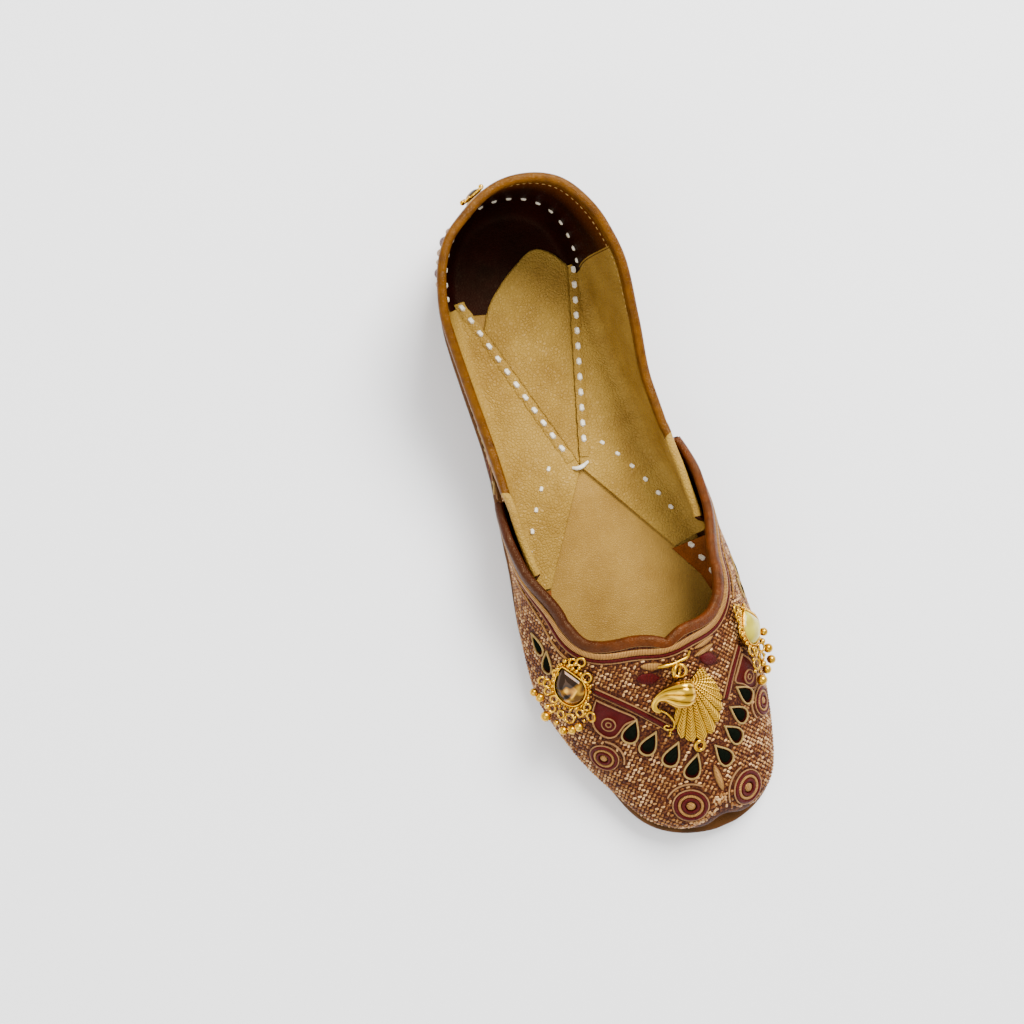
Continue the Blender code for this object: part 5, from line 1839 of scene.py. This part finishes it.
def build_vamp_margin():
    """The vamp lining's turned-in margin in front of the flaps, with its hand stitches."""
    piece, threads = Piece(), Piece()
    for side, sign in SIDE_SIGNS:
        station = np.linspace(FLAP_FRONT[side][0] + 0.003, 0.70, 60)
        ends = (station[0], 0.64, station[-1])
        inner = sign * np.interp(station, ends, MARGIN_SIDES[side]) * MM / BALL_WIDTH
        edge = plan_point(station, inner, seat_height(station) + INSOLE_THICKNESS)
        turn = side_turn(station, sign)
        wall, higher = (vamp_point(turn, level, VAMP_WALL + 0.2 * MM) for level in (0.9, 1.0))
        flat = (wall - edge) * (1.0, 1.0, 0.0)
        rows = [edge + UP * 0.05 * MM]
        for share in np.linspace(0.0, 1.0, 16):
            rows.append(hermite(edge + UP * 0.7 * MM, wall, flat, (higher - wall) * 2.0, share))
        piece.grid(np.stack(rows, 1))
        path = Path(rows[6] + UP * 0.3 * MM, UP)
        stitch_line(threads, path, (1.5, 0.0), 6.3, 0.25, 0.4, HAND_STITCH_SIZES)
    piece.place("vamp_margin", leather("orange lining leather"), "lining_leather")
    threads.place("vamp_margin_stitches", hand_thread(), "embroidery", merge=0.0)


@once
def hand_thread():
    """Off-white waxed cotton thread."""
    made = Finish("white hand thread", roughness=0.6)
    made.colour(made.ramp(made.noise(900.0, 2.0), ((0.3, "d8ccae"), (0.6, "f6efdc"))))
    return made


@once
def machine_thread():
    """Tan machine thread."""
    made = Finish("tan machine thread", roughness=0.5)
    made.colour(made.ramp(made.noise(900.0, 2.0), ((0.3, "7a5a26"), (0.6, "c09a58"))))
    return made


# Rim of the fan: degrees from the view's right, clockwise, and millimetres from its root
FAN_RIM = (
    (-50, 6.0), (-30, 6.6), (-11, 7.4), (5, 9.8), (17, 12.1), (32, 16.1), (44.5, 18.8), (57, 21.5),
    (66.6, 23.5), (75, 23.9), (84, 23.4), (92, 22.4), (100, 18.8), (107, 14.7), (114, 11.0),
    (122, 7.5),
)
FAN_STRIPS = 16
LEFT_CHARM_PLACE, RIGHT_CHARM_PLACE = (180.3, -35.2), (183.8, 34.7)
HEEL_CHARM_PLACE = (0.0085, 1.66)
CHEVRON_PITCH = 1.05
PEACOCK_ROOT = (191.9, 3.7, 198.7, 1.2)
# Body and neck: right of the root, below it, and half width
BODY_SPINE = (
    (1.3, 2.4, 0.3), (0.9, 2.4, 2.1), (0.0, 2.6, 3.6), (-1.6, 2.9, 4.7), (-3.4, 3.2, 5.0),
    (-5.7, 3.7, 4.5), (-8.0, 4.2, 3.3), (-9.8, 5.0, 2.1), (-11.1, 6.3, 1.35), (-11.7, 8.2, 1.1),
    (-11.1, 10.0, 1.0), (-9.5, 11.2, 0.6),
)
BODY_FLATNESS, ENGRAVING = 0.72, 0.045
CHAIN = (
    (-9.6, 11.0), (-7.9, 11.6), (-6.4, 12.7), (-5.0, 14.3), (-4.1, 15.9), (-4.1, 17.7), (-5.0, 18.9),
)
CHAIN_BEADS = ((-5.0, 19.8), (-5.1, 20.9))
# Rings of the peacock: right, below, above the vamp, lean, radius and thickness
LOOPS = (
    (-5.3, -4.4, 1.7, 0.9, 2.5, 1.25), (-4.5, -4.6, 1.9, -0.5, 2.3, 1.1),
    (5.7, 25.1, 0.9, 0.0, 1.75, 1.35),
)
HOOK = ((-4.6, 18.2), (-6.2, 18.6), (-7.3, 17.8), (-6.9, 16.9), (-5.8, 17.2))
PIN = (
    (-12.0, -6.0, 0.5), (-9.4, -6.5, 0.8), (-7.0, -7.0, 0.75), (-3.9, -8.3, 0.65), (-1.8, -9.3, 0.55),
    (-1.0, -11.4, 0.4),
)
# Stone outline of a side charm: right of its middle and below it
STONE = (
    (-3.4, -7.2), (-4.6, -5.0), (-5.5, -1.2), (-4.6, 2.3), (-2.2, 5.0), (1.1, 6.0), (4.1, 4.2),
    (5.3, 0.8), (4.3, -2.4), (1.6, -4.7), (-1.4, -6.8), (-2.7, -7.5),
)
# Rings, beads and granules: right, below, radius
LEFT_CHARM = {
    "rings": (
        (3.6, -9.8, 1.5), (5.6, -4.1, 1.7), (-8.4, -1.8, 1.3), (-10.2, -2.6, 1.3), (-5.9, 3.9, 1.3),
        (-0.2, 10.9, 1.7), (7.3, 10.0, 1.7), (-3.4, 9.5, 1.4), (3.4, 8.8, 1.4), (-6.6, 7.4, 1.3),
        (5.9, 6.6, 1.2), (-8.0, 1.2, 1.3), (0.6, -9.6, 1.2), (-5.4, -5.6, 1.1),
    ),
    "beads": (
        (-13.0, 1.6, 1.3), (-10.7, 3.4, 1.5), (-8.6, 10.2, 1.7), (-8.1, 6.8, 1.0), (-2.3, 15.2, 1.5),
        (0.7, 14.8, 1.5), (3.2, 13.7, 1.5), (-4.9, 12.6, 0.9),
    ),
    "granules": (
        (-2.0, -10.0, 0.8), (-0.7, -8.4, 0.8), (0.7, -7.3, 0.8), (2.0, -6.4, 0.8), (3.4, -5.5, 0.8),
        (-3.4, -8.6, 0.7), (-0.2, -10.6, 0.7), (1.6, -9.1, 0.8), (3.0, -7.6, 0.7), (-4.6, -7.0, 0.6),
        (-4.0, 6.6, 0.6), (-2.0, 7.4, 0.6), (0.0, 7.8, 0.6), (2.0, 7.3, 0.6), (3.8, 6.4, 0.6),
        (5.4, 5.0, 0.6), (6.2, 3.2, 0.6), (-5.2, 5.8, 0.6), (1.6, 10.6, 0.6), (-1.8, 11.6, 0.6),
        (5.2, 9.0, 0.6), (4.8, 11.6, 0.6), (6.8, 0.9, 0.6), (6.9, -1.2, 0.6), (-6.4, 1.4, 0.6),
        (-6.6, -0.6, 0.6), (-6.2, -2.6, 0.6), (-7.0, 9.0, 0.6),
    ),
}
RIGHT_CHARM = {
    "rings": (
        (-6.8, -7.5, 1.5), (-5.2, -2.9, 1.4), (-4.9, -6.0, 1.2), (-1.4, 7.7, 1.4), (1.4, 8.6, 1.5),
        (1.6, 13.0, 1.8), (4.2, 7.3, 1.5), (-4.4, 0.6, 1.1), (4.2, 10.6, 1.4), (-6.2, -5.0, 1.1),
    ),
    "beads": (
        (5.0, 1.9, 1.4), (6.6, 8.0, 1.6), (8.0, 12.2, 1.5), (5.7, 15.5, 1.5), (3.0, 18.9, 1.75),
        (4.6, 5.2, 1.0), (4.4, 13.2, 1.1),
    ),
    "granules": (
        (-4.5, 1.8, 0.7), (-3.6, 3.4, 0.7), (-2.7, 5.0, 0.7), (-1.4, 6.4, 0.7), (0.2, 7.2, 0.7),
        (-5.6, -1.0, 0.6), (-6.2, -3.4, 0.6), (-4.0, -7.6, 0.6), (-3.0, -8.6, 0.6), (-0.2, 9.6, 0.6),
        (2.8, 6.4, 0.6), (3.8, 4.2, 0.6), (3.0, 10.4, 0.6), (0.2, 11.2, 0.6), (5.4, 10.2, 0.6),
        (-5.6, -8.6, 0.6), (3.4, 16.0, 0.6), (0.8, 15.4, 0.6),
    ),
}
HEEL_CHARM_PARTS = {
    "rings": ((-5.4, -3.2, 1.4), (5.4, -3.2, 1.4), (-3.4, 8.4, 1.4), (0.0, 9.2, 1.4), (3.4, 8.4, 1.4)),
    "beads": ((-7.2, 0.8, 1.4), (7.2, 0.8, 1.4), (-3.4, 11.4, 1.3), (0.0, 12.2, 1.3), (3.4, 11.4, 1.3)),
    "granules": (
        (-6.4, 3.4, 0.8), (-5.0, 5.6, 0.8), (-2.6, 6.8, 0.8), (0.0, 7.2, 0.8), (2.6, 6.8, 0.8),
        (5.0, 5.6, 0.8), (6.4, 3.4, 0.8), (-3.6, -6.0, 0.8), (3.6, -6.0, 0.8),
    ),
}


class Flat:
    """A flat place near the surface for a stiff charm, with its own directions."""

    def __init__(self, origin, across, along, outward):
        self.origin, self.across, self.along, self.outward = origin, across, along, outward

    def lift(self, aside, down, height):
        """Points at these distances and heights over the flat place."""
        aside, down, height = np.broadcast_arrays(aside, down, height)
        moved = aside[..., None] * self.across + down[..., None] * self.along
        return self.origin + moved + height[..., None] * self.outward


def hanging_place(seat, raised, lean):
    """A flat place over a seat that leans from the surface toward the photograph's view."""
    right, up, back = (np.array(v) for v in (CAMERA_RIGHT, CAMERA_UP, CAMERA_BACK))
    outward = unit(seat.outward + lean * back)
    across = right - back * np.dot(right, outward) / np.dot(back, outward)
    along = back * np.dot(up, outward) / np.dot(back, outward) - up
    return Flat(seat.origin + back * raised, across, along, outward)


def build_gilt_parts(piece, place, parts, scale):
    """The rings, hanging beads and granules of a charm."""
    for kind in ("rings", "beads", "granules"):
        aside, down, radius = (np.array(parts[kind]) * scale * MM).T
        if kind == "rings":
            tilt = 0.45 * np.sin(7.0 * np.arange(len(radius)))[:, None]
            facings = place.outward + tilt * unit(place.across)
            centres = place.lift(aside, down, 0.5 * MM + 0.35 * radius)
            rings(piece, centres, facings, radius, 0.88 * scale * MM)
        else:
            balls(piece, place.lift(aside, down, 0.5 * MM + 0.75 * radius), radius * 1.15)


def build_stone_charm(name, place, parts, stone, scale, turned=0.0, slim=1.0):
    """A pear stone in a beaded bezel on a gilt plate, with rings and hanging beads."""
    outline = smooth_through(np.vstack([STONE, STONE[:1]]), 73)[:-1] * scale * MM
    cos, sin = math.cos(turned), math.sin(turned)
    outline = outline @ np.array(((cos, sin), (-sin, cos))) * (slim, 1.0)
    piece = Piece()
    build_gilt_parts(piece, place, parts, scale)
    pad(piece, place, outline * 1.2, 0.5 * MM, base=-0.6 * MM, flat=1.0)
    rim = Path(place.lift(*(outline * 1.05).T, 0.5 * MM), place.outward, closed=True)
    sweep(piece, rim, round_profile(0.8 * scale * MM, 1.1 * scale * MM, 0.3 * MM))
    beads = evenly(np.vstack([outline, outline[:1]]) * 1.2, int(44 * scale ** 0.3) + 1)[:-1]
    balls(piece, place.lift(*beads.T, 0.55 * MM), 0.54 * scale ** 0.5 * MM, around=8, rows=6)
    piece.place(name + "_setting", polished_gilt(), "gilt_metal", (name,))
    gem = Piece()
    pad(gem, place, outline, 3.0 * scale * MM, base=0.4 * MM, flat=0.15, rows=14)
    gem.place(name + "_stone", stone, "gilt_metal")


def build_side_charms():
    """The two side charms and the smaller one at the heel."""
    left = hanging_place(seat_at(*LEFT_CHARM_PLACE), 2.6 * MM, 0.9)
    build_stone_charm("side_charm_left", left, LEFT_CHARM, amber_glass(), 1.0)
    right = hanging_place(seat_at(*RIGHT_CHARM_PLACE), 2.6 * MM, 0.15)
    build_stone_charm("side_charm_right", right, RIGHT_CHARM, pale_glass(), 1.0, -0.25, 0.62)
    seat = Seat(turn_of(HEEL_CHARM_PLACE[0]), HEEL_CHARM_PLACE[1])
    heel = Flat(seat.origin + seat.outward * 1.1 * MM, seat.across, seat.along, seat.outward)
    build_stone_charm("heel_charm", heel, HEEL_CHARM_PARTS, amber_glass(), 0.62)


def build_fan(seat):
    """The peacock's stamped fan: feather strips of chevrons with scalloped tips."""
    rim = smooth_through(FAN_RIM, 200)
    degrees = np.linspace(FAN_RIM[0][0], FAN_RIM[-1][0], FAN_STRIPS * 10 + 1)
    limit = np.interp(degrees, rim[:, 0], rim[:, 1])
    strip = np.linspace(0.0, FAN_STRIPS, len(degrees)) % 1.0
    edge = np.abs(strip - 0.5) * 2.0
    groove = 1.0 - 0.6 * edge ** 8.0
    radius = limit * (1.0 - 0.06 * edge ** 2.0) * np.linspace(0.05, 1.0, 180)[:, None]
    half = radius * math.radians(FAN_RIM[-1][0] - FAN_RIM[0][0]) / FAN_STRIPS / 2.0
    phase = (radius - 1.1 * (1.0 - edge) * half) / CHEVRON_PITCH % 1.0
    ridge = (1.0 - np.abs(phase * 2.0 - 1.0)) * groove
    dome = 0.22 * np.sqrt(1.0 - edge ** 2.0) * np.clip(radius / 6.0, 0.3, 1.0)
    height = 1.0 + dome + 0.42 * ridge
    height[-1] = 0.9
    # Painted light and shade for the fan's colour: high on the ridges and dome tops, low in the grooves
    # between strips
    sunk = np.clip(ridge * 0.85 + 0.15 * dome, 0.0, 1.0) * groove
    radius, sunk = (np.vstack([values, values[-1:]]) for values in (radius, sunk))
    height = np.vstack([height, np.full(len(edge), 0.35)])
    aside, down = radius * np.cos(np.radians(degrees)), radius * np.sin(np.radians(degrees))
    piece = Piece()
    piece.grid(seat.lift(aside * MM, down * MM, height * MM), np.stack([radius, height, sunk], -1))
    piece.place("peacock_fan", matte_gilt(), "gilt_metal", ("peacock_tail",), sharp=30.0)


def build_body(seat):
    """The peacock's engraved body and bent neck."""
    aside, down, girth = (smooth_through(BODY_SPINE, 110) * MM).T
    girth = np.maximum(girth, 0.15 * MM)
    centre = seat.lift(aside, down, 1.6 * MM + BODY_FLATNESS * girth)
    onward = unit(np.gradient(centre, axis=0))
    beside = unit(np.cross(onward, seat.outward))
    turns = circle(96)
    fade = np.clip((girth / MM - 1.4) / 1.5, 0.0, 1.0)[:, None]
    twist = np.linspace(0.0, 6.0, len(girth))[:, None]
    engraved = fade * np.abs(np.sin(5.5 * turns + twist))
    reach = girth[:, None] * (1.0 + ENGRAVING * engraved)
    side, high = reach * np.cos(turns), reach * np.sin(turns) * BODY_FLATNESS
    # Painted light and shade for the body's colour: high on the raised twists, low in the engraved
    # lines between them
    ridge = np.clip(engraved, 0.0, 1.0) * fade + (1.0 - fade)
    shape = centre[:, None] + side[..., None] * beside[:, None] + high[..., None] * seat.outward
    body = Piece()
    body.grid(shape, np.stack([side, high, ridge], -1), around=True)
    body.place("peacock_body", engraved_gilt(), "gilt_metal", ("peacock_charm",))


def build_wires(seat):
    """The peacock's pin, hook, rings and twisted chain."""
    piece = Piece()
    pin = np.array(PIN) * MM
    wire(piece, seat.lift(pin[:, 0], pin[:, 1], 1.5 * MM), pin[:, 2])
    hook = np.array(HOOK) * MM
    wire(piece, seat.lift(*hook.T, 1.3 * MM), np.full(len(hook), 0.32 * MM))
    links = evenly(smooth_through(CHAIN, 120), 34) * MM
    balls(piece, seat.lift(*links.T, 1.2 * MM), 0.42 * MM, around=10, rows=7)
    ends = np.array(CHAIN_BEADS) * MM
    balls(piece, seat.lift(*ends.T, 0.9 * MM), 0.6 * MM)
    for aside, down, height, lean, radius, thickness in LOOPS:
        centre = seat.lift(aside * MM, down * MM, height * MM)
        facing = seat.outward + lean * seat.across
        rings(piece, [centre], [facing], radius * MM, thickness * MM, around=40, sides=12)
    piece.place("peacock_wires", polished_gilt(), "gilt_metal")


def build_peacock():
    """The hanging peacock charm."""
    seat = seat_at(*PEACOCK_ROOT)
    build_fan(seat)
    build_body(seat)
    build_wires(seat)


@once
def polished_gilt():
    """Bright gilt metal, a little worn."""
    made = Finish("polished gilt", roughness=0.2, metallic=1.0, specular=0.5)
    made.colour(made.ramp(made.noise(500.0, 2.0), ((0.35, "b07d10"), (0.6, "d8a828"))))
    made.rough(made.noise(300.0, 2.0), 0.14, 0.34)
    return made


@once
def engraved_gilt():
    """Polished gilt metal, bright on its raised twists and dark in its engraved lines: painted light
    and shade.
    """
    made = Finish("engraved gilt", roughness=0.2, metallic=1.0, specular=0.5)
    made.colour(made.ramp(made.flow()[2], ((0.08, "52300a"), (0.4, "b6840f"), (0.9, "deae2a"))))
    made.rough(made.noise(300.0, 2.0), 0.14, 0.34)
    return made


@once
def matte_gilt():
    """Stamped matte gilt metal, lighter on its ridges and darker in its grooves: painted light and
    shade, with some random tone.
    """
    made = Finish("matte gilt", roughness=0.36, metallic=1.0, specular=0.5)
    # The worn value is random tone plus the fan's painted light and shade from its flow
    worn = made.math("MULTIPLY_ADD", made.noise(500.0, 2.0), 0.3, made.flow()[2])
    made.colour(made.ramp(worn, ((0.2, "3a2004"), (0.46, "a4740f"), (0.82, "e8ba40"))))
    made.rough(made.noise(600.0, 2.0), 0.3, 0.46)
    return made


@once
def amber_glass():
    """Amber glass, its colour running across it in dark and golden bands: the stone's own amber tone
    with a painted golden reflection and painted shade.
    """
    made = Finish("amber glass", roughness=0.12, metallic=0.85, coat=0.35, specular=0.4)
    down, aside = made.flow()[0:2]
    # A band across the stone: painted reflection where it turns golden, painted shade where it is dark
    slope = made.math("MULTIPLY", made.math("MULTIPLY_ADD", aside, 0.8, down), 55.0)
    value = made.math("ADD", slope, made.noise(260.0, 1.0))
    stops = ((0.22, "301a02"), (0.42, "150a01"), (0.56, "8a5a08"), (0.68, "c8941c"), (0.86, "6a4406"))
    made.colour(made.ramp(value, stops))
    made.shader.inputs["Coat Roughness"].default_value = 0.03
    return made


@once
def pale_glass():
    """Pale yellow-green foiled glass."""
    made = Finish("pale glass", roughness=0.2, coat=0.4)
    made.colour(made.ramp(made.noise(160.0, 1.0), ((0.35, "9c8c10"), (0.62, "bcb034"))))
    made.shader.inputs["Coat Roughness"].default_value = 0.05
    return made


add_camera()
add_floor()
add_light()
build_outsole()
build_insole()
build_quarters()
build_vamp()
build_collar_binding()
build_throat_leather()
build_linings()
build_counter()
build_heel_pad()
build_bands()
build_machine_stitches()
build_throat_stitches()
build_vamp_margin()
build_peacock()
build_side_charms()
build_embroidery()
build_fields()
